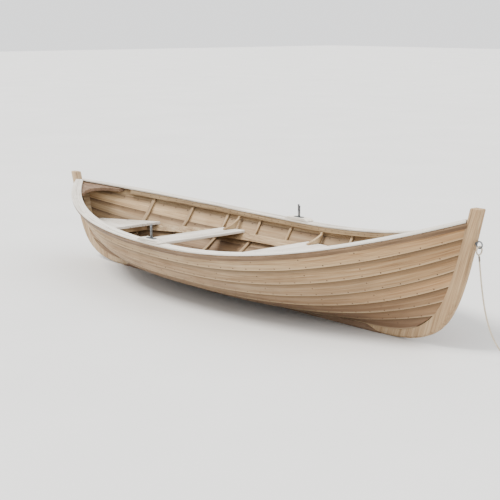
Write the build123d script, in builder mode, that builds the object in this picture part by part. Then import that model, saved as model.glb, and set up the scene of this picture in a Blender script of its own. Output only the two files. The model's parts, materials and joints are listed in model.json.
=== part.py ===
"""A double-ended clinker rowing boat, built of separate pieces.

Millimetres. +X points to the bow, +Y to port and +Z up. The origin is on the ground under
the middle of the boat, halfway between the forward face of the stem and the after face of
the sternpost. The boat stands on the flat underside of its keel.
"""

import os
from math import asin, atan2, cos, degrees, hypot, pi, radians, sin, tan

from build123d import *

os.makedirs("parts", exist_ok=True)

# ---------------------------------------------------------------- driving dimensions
LENGTH = 4300.0  # between the face of the stem head and that of the sternpost head
BEAM = 1380.0  # outside the planking, amidships at the sheer
HULL_DEPTH = 395.0  # from the keel rabbet to the sheer, amidships
BOW_RISE = 350.0  # the sheer at the stem above the sheer amidships
STERN_RISE = 178.0
STEM_HEAD = 85.0  # the posts stand this far above the sheer
STERN_HEAD = 70.0
CLEARANCE = 0.4  # bedding between pieces that fit each other
GAP = 0.3  # bedding between two strakes, in the lap

STRAKES = 7  # on each side
PLANK = 11.0
LAP = 24.0
SECTION_SWEEP = 80.0  # degrees that the midship section turns from keel to sheer
DEADRISE = 0.12  # share of the depth that rises evenly across the section
LAP_STEP = 0.97  # share of a plank's thickness that each lap stands proud amidships
HOOD_STEP = 0.35  # and where a strake meets a post
HOOD_FADE = 0.3  # share of the half length over which the laps fade to that
HOOD_HALF = 22.0  # half the breadth of the planking where it meets a post
FOOT_RISE = 55.0  # the garboard's hood end starts this far above the keel rabbet

KEEL_WIDTH = 76.0
KEEL_RABBET = 40.0  # height of the garboard's lower edge
KEEL_HALF_LENGTH = 1400.0
KEEL_SCARF = 120.0
KEEL_TAPER = 450.0  # length over which each end of the keel narrows to the post
KEEL_BEVEL = 3.0
HOG_WIDTH = 92.0
HOG_THICK = 18.0
POST_WIDTH = 52.0  # stem and sternpost, at the rabbet
POST_NOSE = 28.0  # and at their outer face
POST_DEPTH = 80.0  # outer face to rabbet at the head
POST_BEVEL = 4.0  # round the top of its head
FOREFOOT_SHARE = 0.22  # share of a post's height where its curve turns upward
FACE_REACH = (200.0, 165.0)  # the turn's start and end, in from the head, on the face
RABBET_REACH = (290.0, 245.0)  # and on the rabbet
RABBET_LIFT = 25.0
APRON_DEPTH = 46.0
APRON_FRONT = 11.0  # width of the apron where it meets the post

RIB_COUNT = 10
RIB_SPAN = 2960.0  # first rib to last
RIB_WIDTH = 24.0
RIB_THICK = 12.0
RIB_BEDDING = 0.7  # between a rib and the planking
RAIL_BEDDING = 2.2  # play between the planking and the inwale, beyond the ribs' thickness

RAIL_WIDTH = 27.0  # rub rail, outboard of the sheer strake
RAIL_HEIGHT = 36.0
INWALE_WIDTH = 20.0
INWALE_HEIGHT = 34.0
RIB_SLOPE = 5.5  # how far the ribs' heads lean in over the height of the inwale
CAP_THICK = 14.0
CAP_OVERHANG = 3.0
CAP_BEVEL = 4.0
RAIL_END = 0.35  # share of the rub rail's width that is left at the posts
BREASTHOOK_THICK = 26.0
BREASTHOOK_REACH = 300.0

SEAT_HEIGHT = 325.0  # top of every thwart and of the stern bench
THWART_THICK = 22.0
THWART_WIDTH = 215.0
THWART_ROUND = 6.0
THWARTS = {"aft_thwart": -690.0, "centre_thwart": 190.0, "bow_thwart": 960.0}
BENCH_FRONT = -1330.0
BENCH_BACK = -1790.0
BENCH_BOARDS = 4
BENCH_SLOT = 8.0
RISER_WIDTH = 18.0
RISER_HEIGHT = 44.0
RISER_FRONT = 1180.0
KNEE_THICK = 22.0
KNEE_FOOT = 120.0
KNEE_ARM = 24.0
KNEE_TIP = 12.0  # thickness at both ends
KNEE_THROAT = (22.0, 34.0)  # the hollow of its inner curve, in from the arm and up from the thwart
BEARER_WIDTH = 26.0
BEARER_HEIGHT = 40.0
BEARER_INSET = 60.0  # from the bench's front, and a little more from its back

FLOOR_TIMBERS = (-657.8, -328.9, 0.0, 328.9, 657.8, 960.0)  # between the ribs
FLOOR_TIMBER_WIDTH = 28.0
FLOOR_HEIGHT = 108.0  # top of the floor timbers, under the bottom boards
BOARD_THICK = 14.0
BOARD_WIDTH = 118.0
BOARD_GAP = 12.0
BOARD_BACK = -860.0
BOARD_FRONT = 1010.0
CLEATS = (-740.0, 760.0)
CLEAT_WIDTH = 40.0
CLEAT_THICK = 12.0

ROWLOCK_X = -110.0  # rowing station, aft of the centre thwart
PAD_LENGTH = 240.0
PAD_HEIGHT = 20.0  # above the highest point of the cap under it
PAD_ROOM = 2.0  # from the middle of the cap to that point, and the bedding
PAD_BEVEL = (14.0, 30.0)  # down and along, at each end
SHANK_RADIUS = 6.4
SOCKET_RADIUS = 11.5
SHANK_CLEARANCE = 0.05
PLATE = (88.0, 34.0, 4.0)
PLATE_CORNER = 10.0
COLLAR_RADII = (10.5, 8.5)  # the rowlock's collar, at its foot and at its head
COLLAR_HEIGHT = 12.0
CRUTCH_RADIUS = 31.0  # inside the rowlock, for the oar's loom
CRUTCH_BAR = 6.5
CRUTCH_HORN = 34.0
HORN_TIP = 7.7  # radius of the ball on top of each horn
ROWLOCK_TURN = -38.0  # degrees that both rowlocks are swung at rest

EYE_HEIGHT = 668.0
EYE_RADIUS = 15.0
EYE_BAR = 4.5
EYE_SHANK = 6.0
EYE_COLLAR = 11.0
EYE_STAND = 5.0  # from the stem's face to the back of the ring
NUT_RADIUS = 11.0
NUT_HEIGHT = 9.0
NUT_CLEARANCE = 0.1
WASHER_RADIUS = 15.0
WASHER_THICK = 2.5

BUNG_X = -990.0
BUNG_Y = 73.0
BUNG_RADIUS = 12.0
BUNG_CLEARANCE = 0.05
BUNG_FLANGE = 6.0  # how far it overlaps the garboard round the hole
BUNG_HEIGHT = 10.0

ROPE = 10.0
ROPE_LOOP = 19.0  # inner radius of the spliced eye
COIL_CENTRE = (2395.0, 700.0)
COIL_RADIUS = 57.0  # at the middle of its turns
COIL_WIDTH = 30.0
COIL_HEIGHT = 20.0
PAINTER_ROUTE = [  # from the eye down to the ground and along it to the coil
    (2124.4, 0.0, 599.2),
    (2138.0, -2.0, 512.0),
    (2158.0, -5.0, 405.0),
    (2186.0, -9.0, 292.0),
    (2226.0, -13.0, 190.0),
    (2288.0, -14.0, 96.0),
    (2372.0, -5.0, 30.0),
    (2470.0, 16.0, 5.0),
    (2558.0, 66.0, 5.0),
    (2612.0, 150.0, 5.0),
    (2616.0, 243.0, 5.0),
    (2579.0, 332.0, 5.0),
    (2529.0, 412.0, 5.0),
    (2493.0, 494.0, 5.0),
    (2476.0, 574.0, 5.0),
    (2472.4, 645.0, 5.0),
    (2472.4, 701.0, 5.0),
]

# ---------------------------------------------------------------- the hull's form
SHEER_MID = KEEL_RABBET + HULL_DEPTH
SHEER_BOW = SHEER_MID + BOW_RISE
SHEER_STERN = SHEER_MID + STERN_RISE
HALF = LENGTH / 2
FOOT = KEEL_RABBET + FOOT_RISE
TABLE_STEPS = 400


def bezier(points, u):
    """The point at u on a cubic through four control points."""
    v = 1 - u
    weights = (v**3, 3 * u * v**2, 3 * u**2 * v, u**3)
    return tuple(sum(w * p[k] for w, p in zip(weights, points)) for k in range(2))


def post_curves(head, sign):
    """Outer face and rabbet of a post as cubics in X and Z, from the keel to the head."""
    top = HALF - POST_DEPTH
    face = [
        (KEEL_HALF_LENGTH + 3 * CLEARANCE, 0.0),
        (HALF - FACE_REACH[0], 0.0),
        (HALF - FACE_REACH[1], FOREFOOT_SHARE * head),
        (HALF, head),
    ]
    rabbet = [
        (KEEL_HALF_LENGTH - 100, KEEL_RABBET),
        (HALF - RABBET_REACH[0], KEEL_RABBET),
        (HALF - RABBET_REACH[1], FOREFOOT_SHARE * head + RABBET_LIFT),
        (top, head),
    ]
    return [[(sign * x, z) for x, z in curve] for curve in (face, rabbet)]


BOW_TOP = SHEER_BOW + STEM_HEAD
STERN_TOP = SHEER_STERN + STERN_HEAD
BOW_FACE, BOW_RABBET = post_curves(BOW_TOP, 1)
STERN_FACE, STERN_RABBET = post_curves(STERN_TOP, -1)


def table_of(curve):
    return [bezier(curve, k / TABLE_STEPS) for k in range(TABLE_STEPS + 1)]


BOW_TABLE = table_of(BOW_RABBET)
STERN_TABLE = table_of(STERN_RABBET)


def read_table(table, value, given, wanted):
    """The wanted coordinate of a table where the given one, which only grows in size, has a value."""
    for a, b in zip(table, table[1:]):
        if abs(b[given]) >= abs(value):
            share = (abs(value) - abs(a[given])) / max(abs(b[given]) - abs(a[given]), 1e-9)
            return a[wanted] + (b[wanted] - a[wanted]) * share
    return table[-1][wanted]


def rabbet_x(z, bow):
    return read_table(BOW_TABLE if bow else STERN_TABLE, z, 1, 0)


def rabbet_z(x):
    if abs(x) <= KEEL_HALF_LENGTH - 100:
        return KEEL_RABBET
    return read_table(BOW_TABLE if x > 0 else STERN_TABLE, x, 0, 1)


def knuckle(j, t):
    """Point at the outside of the lower edge of strake j, to port.

    t runs from -1 at the sternpost to 1 at the stem.
    """
    share = j / STRAKES
    bow = t >= 0
    size = abs(t)
    sheer_end = SHEER_BOW if bow else SHEER_STERN
    end_z = [FOOT + (s - FOOT) * share for s in (SHEER_STERN, SHEER_BOW)]
    ends = [rabbet_x(end_z[0], False) + CLEARANCE, rabbet_x(end_z[1], True) - CLEARANCE]
    x = ends[0] + (ends[1] - ends[0]) * (t + 1) / 2
    keel_half = KEEL_WIDTH / 2 - 5
    if j == 0:
        y = HOOD_HALF + (keel_half - HOOD_HALF) * (1 - size**4)
        return Vector(x, y, rabbet_z(x) + CLEARANCE)
    sweep = radians(SECTION_SWEEP)
    y_mid = keel_half + (BEAM / 2 - keel_half) * sin(share * sweep) / sin(sweep)
    turned = (1 - cos(share * sweep)) / (1 - cos(sweep))
    z_mid = KEEL_RABBET + HULL_DEPTH * (DEADRISE * share + (1 - DEADRISE) * turned)
    base = 1 - size ** (2.2 + 0.3 * share)
    fullness = 1.5 - 0.5 * share
    y = HOOD_HALF + (y_mid - HOOD_HALF) * base * abs(base) ** (fullness - 1)
    z_end = FOOT + (sheer_end - FOOT) * share
    z = z_mid + (z_end - z_mid) * size ** (4.2 - 2.1 * share)
    return Vector(x, y, z)


def step_share(t):
    """How far a lap stands proud, as a share of a plank's thickness: less at the posts."""
    near = min(1.0, max(0.0, (1 - abs(t)) / HOOD_FADE))
    smooth = near * near * (3 - 2 * near)
    return HOOD_STEP + (LAP_STEP - HOOD_STEP) * smooth


def strake_frame(j, t):
    """Corner, direction up the outer face, outward normal, along, face width and step of strake j at t."""
    delta = 1e-4
    low, high = knuckle(j, t), knuckle(j + 1, t)
    along = (knuckle(j, t + delta) + knuckle(j + 1, t + delta)) - (
        knuckle(j, t - delta) + knuckle(j + 1, t - delta)
    )
    along = along.normalized()
    width = high - low
    rise = width.normalized()
    out = rise.cross(along).normalized()
    step = 0.0 if j == 0 else PLANK * step_share(t) + GAP
    lean = asin(step / width.length)
    up = rise * cos(lean) - out * sin(lean)
    normal = out * cos(lean) + rise * sin(lean)
    return low + normal * step, up, normal, along, width.length * cos(lean), step


def landing(j, t, origin, across):
    """Where the top of strake j's lap, inside, crosses the plane at origin square to across."""
    for _ in range(6):
        corner, up, normal, along = strake_frame(j, t)[:4]
        point = corner + up * LAP - normal * (PLANK + GAP)
        t -= (point - origin).dot(across) / (HALF * along.dot(across))
    return point


def strake_section(j, t):
    """Strake j's cross-section at t: its plane, six corners in it, and the plane's frame."""
    corner, up, normal, _, face, step = strake_frame(j, t)
    plane_normal = up.cross(normal)
    proud = 0.0 if j == 0 else step - GAP
    inner_low = (0.0, -PLANK) if j == 0 else (0.0, -proud)
    inner_lap = (LAP, -PLANK)
    if j == STRAKES - 1:
        top_outer, bevel = (face, 0.0), (face - LAP, 0.0)
        top_inner = (face + PLANK * normal.Z / up.Z, -PLANK)
    else:
        bevel = (face, 0.0)
        top_inner = (face + LAP, -PLANK)
        local = landing(j + 1, t, corner, plane_normal) - corner
        top_outer = (local.dot(up), local.dot(normal))
    points = [(0.0, 0.0), bevel, top_outer, top_inner, inner_lap, inner_low]
    return Plane(corner, x_dir=up, z_dir=plane_normal), points, up, normal, corner


def inner_corner(j, t):
    """The upper inner corner of strake j, where the ribs touch the planking."""
    _, points, up, normal, corner = strake_section(j, t)
    a, b = points[3]
    return corner + up * a + normal * b


def at_t(point_of, x):
    """The t, from -1 to 1, at which a lengthwise line lies at x."""
    t = x / HALF
    for _ in range(7):
        t = max(-1.0, min(1.0, t + (x - point_of(t).X) / (0.9 * HALF)))
    return t


def at_station(point_of, x):
    """The point of a lengthwise line, given by t, that lies at x."""
    return point_of(at_t(point_of, x))


SECTION_CACHE = {}


def inside_section(x):
    """The (y, z) points where ribs touch the port planking at station x, from the garboard up."""
    key = round(x, 4)
    if key not in SECTION_CACHE:
        rows = []
        for j in range(STRAKES):
            point = at_station(lambda t, j=j: inner_corner(j, t), x)
            if abs(point.X - x) < 1.0:
                rows.append((point.Y, point.Z))
        SECTION_CACHE[key] = rows
    return SECTION_CACHE[key]


def inside_half(x, z, depth=0.0):
    """Half breadth inside the planking at x and z, less a depth measured square to the planking."""
    rows = inside_section(x)
    for (y0, z0), (y1, z1) in zip(rows, rows[1:]):
        if z <= z1 or (y1, z1) == rows[-1]:
            share = (z - z0) / (z1 - z0)
            run = hypot(y1 - y0, z1 - z0)
            return y0 + (y1 - y0) * share - depth * run / (z1 - z0)
    return 0.0


def planking_half(x, z):
    """Half breadth to the innermost face of the planking at x and z."""
    found = []
    for j in range(STRAKES):
        t = x / HALF
        if knuckle(j, t).Z - 60 > z or (j < STRAKES - 1 and knuckle(j + 2, t).Z + 30 < z):
            continue
        for _ in range(5):
            corner, up, normal, _, face, _ = strake_frame(j, t)
            base = corner - normal * PLANK
            rise = (z - base.Z) / up.Z
            if j == 0:
                rise = max(rise, 0.0)
            point = base + up * rise
            t = max(-1.03, min(1.03, t + (x - point.X) / (0.9 * HALF)))
        if -1 <= rise <= face + LAP and abs(point.X - x) < 2:
            found.append(point.Y)
    return min(found) if found else HOOD_HALF - 1.5 * PLANK


def backbone_top(x):
    """Height of the hog's or apron's upper face on the centreline."""
    if abs(x) < KEEL_HALF_LENGTH - 110:
        return KEEL_RABBET + PLANK + 1 + HOG_THICK
    return rabbet_z(x) + APRON_DEPTH * 1.18 + 1


def backbone_half(x):
    """Half width of the hog's or apron's upper face."""
    return min(HOG_WIDTH / 2, planking_half(x, backbone_top(x)) - 1.2)


# ---------------------------------------------------------------- helpers
def finish(builder, name):
    builder.part.label = name
    export_step(builder.part, f"parts/{name}.step")


def outlines(sections):
    """Closed polygons as sketches, from pairs of a plane and its points."""
    sketches = []
    for plane, points in sections:
        with BuildSketch(plane) as outline:
            with BuildLine():
                Polyline(*points, close=True)
            make_face()
        sketches.append(outline.sketch)
    return sketches


def cross_plane(x):
    """The plane across the boat at x, with Y to port and Z up."""
    return Plane((x, 0, 0), x_dir=(0, 1, 0), z_dir=(1, 0, 0))


def both_sides(port, name):
    """Writes a port piece and its mirror image to starboard."""
    finish(port, f"{name}_port")
    with BuildPart() as starboard:
        mirror(port.part, about=Plane.XZ)
    finish(starboard, f"{name}_starboard")


def spread(count, reach, ends=0.9):
    """Values from -reach to reach, closer together towards the ends."""
    return [
        reach * sin((2 * k / (count - 1) - 1) * ends * pi / 2) / sin(ends * pi / 2)
        for k in range(count)
    ]


# ---------------------------------------------------------------- planking
STRAKE_NAMES = ["garboard"] + [f"strake_{n}" for n in range(2, STRAKES)] + ["sheer_strake"]


def bung_axis():
    """Point on the garboard's outer face where the drain hole is, and the way up through it."""
    t = at_t(lambda v: strake_section(0, v)[4], BUNG_X)
    _, _, up, normal, corner = strake_section(0, t)
    reach = (BUNG_Y - corner.Y) / up.Y
    return corner + up * reach, normal * -1


def make_strakes():
    reach = 1.008
    for j, name in enumerate(STRAKE_NAMES):
        with BuildPart() as strake:
            loft(outlines(strake_section(j, t)[:2] for t in spread(27, reach)))
            trim_to_post()
        if name == "garboard":
            both_sides_bored(strake, name)
        else:
            both_sides(strake, name)


def both_sides_bored(strake, name):
    """The garboards: the starboard one is whole, and the port one has the drain hole."""
    with BuildPart() as starboard:
        mirror(strake.part, about=Plane.XZ)
    finish(starboard, f"{name}_starboard")
    point, up = bung_axis()
    with BuildPart() as port:
        add(strake.part)
        with BuildSketch(Plane(point - up * PLANK, z_dir=up)):
            Circle(BUNG_RADIUS + BUNG_CLEARANCE)
        extrude(amount=3 * PLANK, mode=Mode.SUBTRACT)
    finish(port, f"{name}_port")


# ---------------------------------------------------------------- backbone
def keel_tongue():
    """Port edge, in plan, of the keel above its rabbet, between the garboards' lower edges."""
    reach = KEEL_HALF_LENGTH - 250
    stations = [reach * (k / 12 - 1) for k in range(25)]
    return [(x, planking_half(x, KEEL_RABBET) - 0.8) for x in stations]


def make_keel():
    half, post = KEEL_WIDTH / 2, POST_WIDTH / 2
    end = KEEL_HALF_LENGTH
    scarf_top = end - KEEL_SCARF
    tongue = keel_tongue()
    with BuildPart() as keel:
        with BuildSketch(Plane.XZ):
            Polygon(
                (-end, 0),
                (end, 0),
                (scarf_top, KEEL_RABBET - CLEARANCE),
                (-scarf_top, KEEL_RABBET - CLEARANCE),
                align=None,
            )
        extrude(amount=half, both=True)
        with BuildSketch():
            full = end - KEEL_TAPER
            edge = [(end + 1, post), (full, half), (-full, half), (-end - 1, post)]
            Polygon(*edge, *[(x, -y) for x, y in reversed(edge)], align=None)
        extrude(amount=KEEL_RABBET, mode=Mode.INTERSECT)
        with BuildSketch(Plane.XY.offset(KEEL_RABBET - CLEARANCE)):
            Polygon(*tongue, *[(x, -y) for x, y in reversed(tongue)], align=None)
        extrude(amount=PLANK + CLEARANCE)
        chamfer(keel.edges().filter_by(Axis.X).group_by(Axis.Z)[0], length=KEEL_BEVEL)
    finish(keel, "keel")


def make_hog():
    """The batten on top of the keel that ties both garboards, narrower where they close in on it."""
    bottom = KEEL_RABBET + PLANK + CLEARANCE
    top = bottom + HOG_THICK
    reach = KEEL_HALF_LENGTH - 130
    sections = []
    for k in range(21):
        x = reach * (k / 10 - 1)
        foot = planking_half(x, bottom) - 1.2
        half = min(HOG_WIDTH / 2, planking_half(x, top) - 1.2)
        sections.append((cross_plane(x), [(foot, bottom), (half, top), (-half, top), (-foot, bottom)]))
    with BuildPart() as hog:
        loft(outlines(sections), ruled=True)
    finish(hog, "hog")


def make_post(name, face, rabbet, eye=False):
    """The stem or the sternpost: the timber between its outer face and the rabbet, scarfed to the keel."""
    sign = 1 if face[-1][0] > 0 else -1
    scarf = (face[0][0] - sign * KEEL_SCARF, KEEL_RABBET)
    with BuildPart() as post:
        with BuildSketch(Plane.XZ):
            with BuildLine():
                Bezier(*face)
                Line(face[-1], rabbet[-1])
                Bezier(*rabbet)
                Polyline(rabbet[0], scarf, face[0])
            make_face()
        extrude(amount=POST_WIDTH / 2, both=True)
        curved = post.edges().filter_by(GeomType.BEZIER)
        nose = [e for e in curved if max(abs((e @ 0).X), abs((e @ 1).X)) > HALF - 1]
        chamfer(nose, length=(POST_WIDTH - POST_NOSE) / 2)
        top = post.faces().sort_by(Axis.Z)[-1]
        chamfer(top.edges(), length=POST_BEVEL)
        if eye:
            with Locations(eye_plane()):
                Hole(EYE_SHANK + CLEARANCE, depth=400)
    finish(post, name)


def eye_plane():
    """The plane of the stem's face at the mooring eye, its normal pointing forward."""
    share = rabbet_share(BOW_FACE, EYE_HEIGHT)
    low, high = bezier(BOW_FACE, share - 0.01), bezier(BOW_FACE, share + 0.01)
    x, z = bezier(BOW_FACE, share)
    return Plane((x, 0, z), x_dir=(0, 1, 0), z_dir=(high[1] - low[1], 0, low[0] - high[0]))


def make_apron(name, rabbet, sheer, eye=False):
    """The inner post that the hood ends land on, its sides bevelled to the planking."""
    bow = rabbet[-1][0] > 0
    sections = []
    last = rabbet_share(rabbet, sheer + 10)
    for k in range(17):
        point, ahead = (bezier(rabbet, last * k / 16 + d) for d in (0, 1e-4))
        along = Vector(ahead[0] - point[0], 0, ahead[1] - point[1]).normalized()
        inward = Vector(-along.Z, 0, along.X) * (1 if bow else -1)
        start = Vector(point[0], 0, point[1]) + inward * CLEARANCE
        plane = Plane(start, x_dir=(0, 1, 0), z_dir=along)
        turn = inward.dot(plane.y_dir)
        side = [(APRON_FRONT / 2, 0.0)]
        for share, flare in ((0.4, 0.2), (0.7, 0.5), (1.0, 1.1)):
            depth = share * APRON_DEPTH
            places = [start + inward * depth + along * (13 * n) for n in range(-3, 4)]
            half = min([HOG_WIDTH / 2] + [planking_half(p.X, p.Z) - 2.6 for p in places])
            side.append((max(half, side[-1][0]) + flare, depth * turn))
        sections.append((plane, side + [(-y, d) for y, d in reversed(side)]))
    back = abs(rabbet_x(sheer, bow)) - 1.1 * APRON_DEPTH
    with BuildPart() as apron:
        loft(outlines(sections), ruled=True)
        top = Plane.XY.offset(sheer_height(back if bow else -back) - 3)
        split(bisect_by=top, keep=Keep.BOTTOM)
        if eye:
            with Locations(eye_plane()):
                Hole(EYE_SHANK + CLEARANCE, depth=400)
    finish(apron, name)


def rabbet_share(rabbet, height):
    """The place on the rabbet, from 0 to 1, at that height."""
    low, high = 0.0, 1.0
    for _ in range(40):
        mid = (low + high) / 2
        low, high = (mid, high) if bezier(rabbet, mid)[1] < height else (low, mid)
    return low


# ---------------------------------------------------------------- ribs and floor timbers
def rib_outline(x, depth):
    """The port half of the line through a rib's contact points at x, set in by a depth."""
    rows = inside_section(x)
    line = [(0.0, backbone_top(x)), (backbone_half(x), backbone_top(x))] + rows
    shifted = []
    for k, (y, z) in enumerate(line):
        before, after = line[max(k - 1, 0)], line[min(k + 1, len(line) - 1)]
        dy, dz = after[0] - before[0], after[1] - before[1]
        size = hypot(dy, dz)
        if k == 0:
            dy, dz, size = 1.0, 0.0, 1.0
        shifted.append((y - depth * dz / size, z + depth * dy / size))
    y, z = shifted[-1]
    y0, z0 = shifted[-2]
    limit = sheer_height(x) - 1.0
    share = (limit - z0) / (z - z0)
    shifted[-1] = (y0 + (y - y0) * share, limit)
    return shifted


def sheer_height(x):
    return at_station(lambda t: knuckle(STRAKES, t), x).Z


def rib_profile(x, inset):
    outer = rib_outline(x, inset)
    inner = rib_outline(x, inset + RIB_THICK)
    return outer[1:], inner[1:]


def make_ribs():
    step = RIB_SPAN / (RIB_COUNT - 1)
    for n in range(RIB_COUNT):
        x = -RIB_SPAN / 2 + n * step
        sections = []
        for side in (-RIB_WIDTH / 2, RIB_WIDTH / 2):
            outer, inner = rib_profile(x + side, RIB_BEDDING)
            loop = outer + list(reversed(inner))
            mirrored = [(-y, z) for y, z in inner] + [(-y, z) for y, z in reversed(outer)]
            sections.append((cross_plane(x + side), loop + mirrored))
        with BuildPart() as rib:
            loft(outlines(sections), ruled=True)
        finish(rib, f"rib_{n + 1}")


def make_floor_timbers():
    top = FLOOR_HEIGHT
    with BuildPart() as timbers:
        for x in FLOOR_TIMBERS:
            sections = []
            for side in (-FLOOR_TIMBER_WIDTH / 2, FLOOR_TIMBER_WIDTH / 2):
                rows = inside_section(x + side)
                keel_top = backbone_top(x + side)
                line = [(backbone_half(x + side), keel_top)]
                for (y0, z0), (y1, z1) in zip(rows, rows[1:]):
                    line.append((y0, z0 + 1.0))
                    if z1 > top - 12:
                        share = (top - 12 - z0) / (z1 - z0)
                        line.append((y0 + (y1 - y0) * share, top - 11))
                        break
                end_y = line[-1][0]
                line.append((end_y, top))
                mirrored = [(-y, z) for y, z in reversed(line)]
                sections.append((cross_plane(x + side), line + mirrored))
            loft(outlines(sections), ruled=True)
    finish(timbers, "floor_timbers")


# ---------------------------------------------------------------- gunwale
def sheer_frame(t):
    """Plane across the sheer at t, the planking's lean per unit of height and its level thickness."""
    delta = 1e-4
    here = knuckle(STRAKES, t)
    along = knuckle(STRAKES, t + delta) - knuckle(STRAKES, t - delta)
    along = Vector(along.X, along.Y, 0).normalized()
    out = Vector(-along.Y, along.X, 0)
    up = strake_frame(STRAKES - 1, t)[1]
    flare = up.dot(out) / up.Z
    thick = PLANK / cos(atan2(up.dot(out), up.Z))
    return Plane(here, x_dir=out, z_dir=out.cross(Vector(0, 0, 1))), flare, thick


def inwale_start(thick):
    """How far inside the sheer the inwale starts, past the planking and the ribs."""
    return -thick - RIB_THICK * thick / PLANK - RAIL_BEDDING


def taper(t):
    """1 along the boat, falling to RAIL_END at the posts."""
    near = min(1.0, (1 - abs(t)) / 0.22)
    return RAIL_END + (1 - RAIL_END) * near * (2 - near)


def rub_rail_section(t):
    plane, flare, _ = sheer_frame(t)
    lean = flare * RAIL_HEIGHT
    wide = RAIL_WIDTH * taper(t)
    return plane, [
        (2 * CLEARANCE, 0),
        (wide, 0),
        (wide, -0.3 * RAIL_HEIGHT),
        (wide * 0.75 - lean, -RAIL_HEIGHT),
        (2 * CLEARANCE - lean, -RAIL_HEIGHT),
    ]


def inwale_section(t):
    plane, flare, thick = sheer_frame(t)
    lean = flare * INWALE_HEIGHT
    start = inwale_start(thick)
    return plane, [
        (start, 0),
        (start - lean - RIB_SLOPE, -INWALE_HEIGHT),
        (start - lean - INWALE_WIDTH, -INWALE_HEIGHT),
        (start - INWALE_WIDTH, 0),
    ]


def cap_section(t):
    plane, _, thick = sheer_frame(t)
    outer = RAIL_WIDTH * taper(t) + CAP_OVERHANG
    inner = inwale_start(thick) - INWALE_WIDTH - CAP_OVERHANG
    low, high, soft = CLEARANCE, CLEARANCE + CAP_THICK, CAP_BEVEL
    return plane, [
        (outer, low),
        (outer, high - soft),
        (outer - soft, high),
        (inner + soft, high),
        (inner, high - soft),
        (inner, low),
    ]


def trim_to_post():
    """Cuts the stem's and the sternpost's timber, with a clearance, out of the part being built."""
    for face, rabbet in ((BOW_FACE, BOW_RABBET), (STERN_FACE, STERN_RABBET)):
        sign = 1 if face[-1][0] > 0 else -1
        with BuildSketch(Plane.XZ) as outline:
            with BuildLine():
                shifted = [(x - sign * CLEARANCE, z) for x, z in rabbet]
                beyond = face[-1][0] + sign * 100
                Bezier(*shifted)
                Polyline(shifted[-1], (beyond, face[-1][1]), (beyond, rabbet[0][1]), shifted[0])
            make_face()
        extrude(outline.sketch, amount=POST_WIDTH / 2 + CLEARANCE, both=True, mode=Mode.SUBTRACT)


def make_gunwales():
    stations = spread(21, 1.0)
    with BuildPart() as rail:
        loft(outlines(rub_rail_section(t) for t in stations))
        trim_to_post()
    both_sides(rail, "rub_rail")

    with BuildPart() as cap:
        loft(outlines(cap_section(t) for t in spread(21, 0.998)))
        split(bisect_by=Plane.XZ.offset(-GAP), keep=Keep.BOTTOM)
        trim_to_post()
    both_sides(cap, "gunwale_cap")

    reach = 1 - (BREASTHOOK_REACH + POST_DEPTH) / HALF
    with BuildPart() as inwale:
        loft(outlines(inwale_section(t) for t in spread(17, reach)))
    both_sides(inwale, "inwale")


def make_breasthook(name, bow):
    """A solid knee under the caps that ties both sides to the post."""
    sign = 1 if bow else -1
    sheer = SHEER_BOW if bow else SHEER_STERN
    nose = abs(rabbet_x(sheer, bow)) - APRON_DEPTH - 18
    back = nose - BREASTHOOK_REACH + APRON_DEPTH
    sections = []
    for k in range(5):
        x = sign * (back + (nose - back) * k / 4)
        top = sheer_height(x) - 1.0
        low = top - BREASTHOOK_THICK
        wide = [inside_half(x, z, 1.0) for z in (low, top)]
        sections.append(
            (cross_plane(x), [(wide[0], low), (wide[1], top), (-wide[1], top), (-wide[0], low)])
        )
    with BuildPart() as hook:
        loft(outlines(sections), ruled=True)
        reach = inside_half(sign * back, sheer_height(sign * back) - 20)
        with BuildSketch():
            with Locations((sign * (back - 0.55 * reach), 0)):
                Circle(0.93 * reach)
        extrude(amount=2 * BOW_TOP, mode=Mode.SUBTRACT)
    finish(hook, name)


# ---------------------------------------------------------------- thwarts
def seat_half(x, z):
    """Half the length of a board that ends against the ribs' inner faces."""
    return inside_half(x, z, RIB_THICK + 2.6)


def riser_section(x):
    top = SEAT_HEIGHT - THWART_THICK - CLEARANCE
    low = top - RISER_HEIGHT
    outer = [(seat_half(x, z), z) for z in (low, top)]
    inner = [(y - RISER_WIDTH, z) for y, z in reversed(outer)]
    return cross_plane(x), outer + inner


def make_risers():
    first = BENCH_BACK + 60
    stations = [first + (RISER_FRONT - first) * k / 24 for k in range(25)]
    with BuildPart() as riser:
        loft(outlines(riser_section(x) for x in stations), ruled=True)
    both_sides(riser, "riser")


def seat_outline(front, back, steps=4):
    """Plan outline of a seat between two stations, its ends following the ribs' inner faces."""
    low = SEAT_HEIGHT - THWART_THICK
    side = []
    for k in range(steps + 1):
        x = back + (front - back) * k / steps
        side.append((x, seat_half(x, low) - 1.0))
    return side + [(x, -y) for x, y in reversed(side)]


def make_thwarts():
    for name, middle in THWARTS.items():
        with BuildPart() as thwart:
            with BuildSketch(Plane.XY.offset(SEAT_HEIGHT - THWART_THICK)):
                Polygon(
                    *seat_outline(middle + THWART_WIDTH / 2, middle - THWART_WIDTH / 2), align=None
                )
            extrude(amount=THWART_THICK)
            fillet(thwart.edges().filter_by(Axis.Y), radius=THWART_ROUND)
        finish(thwart, name)


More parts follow.
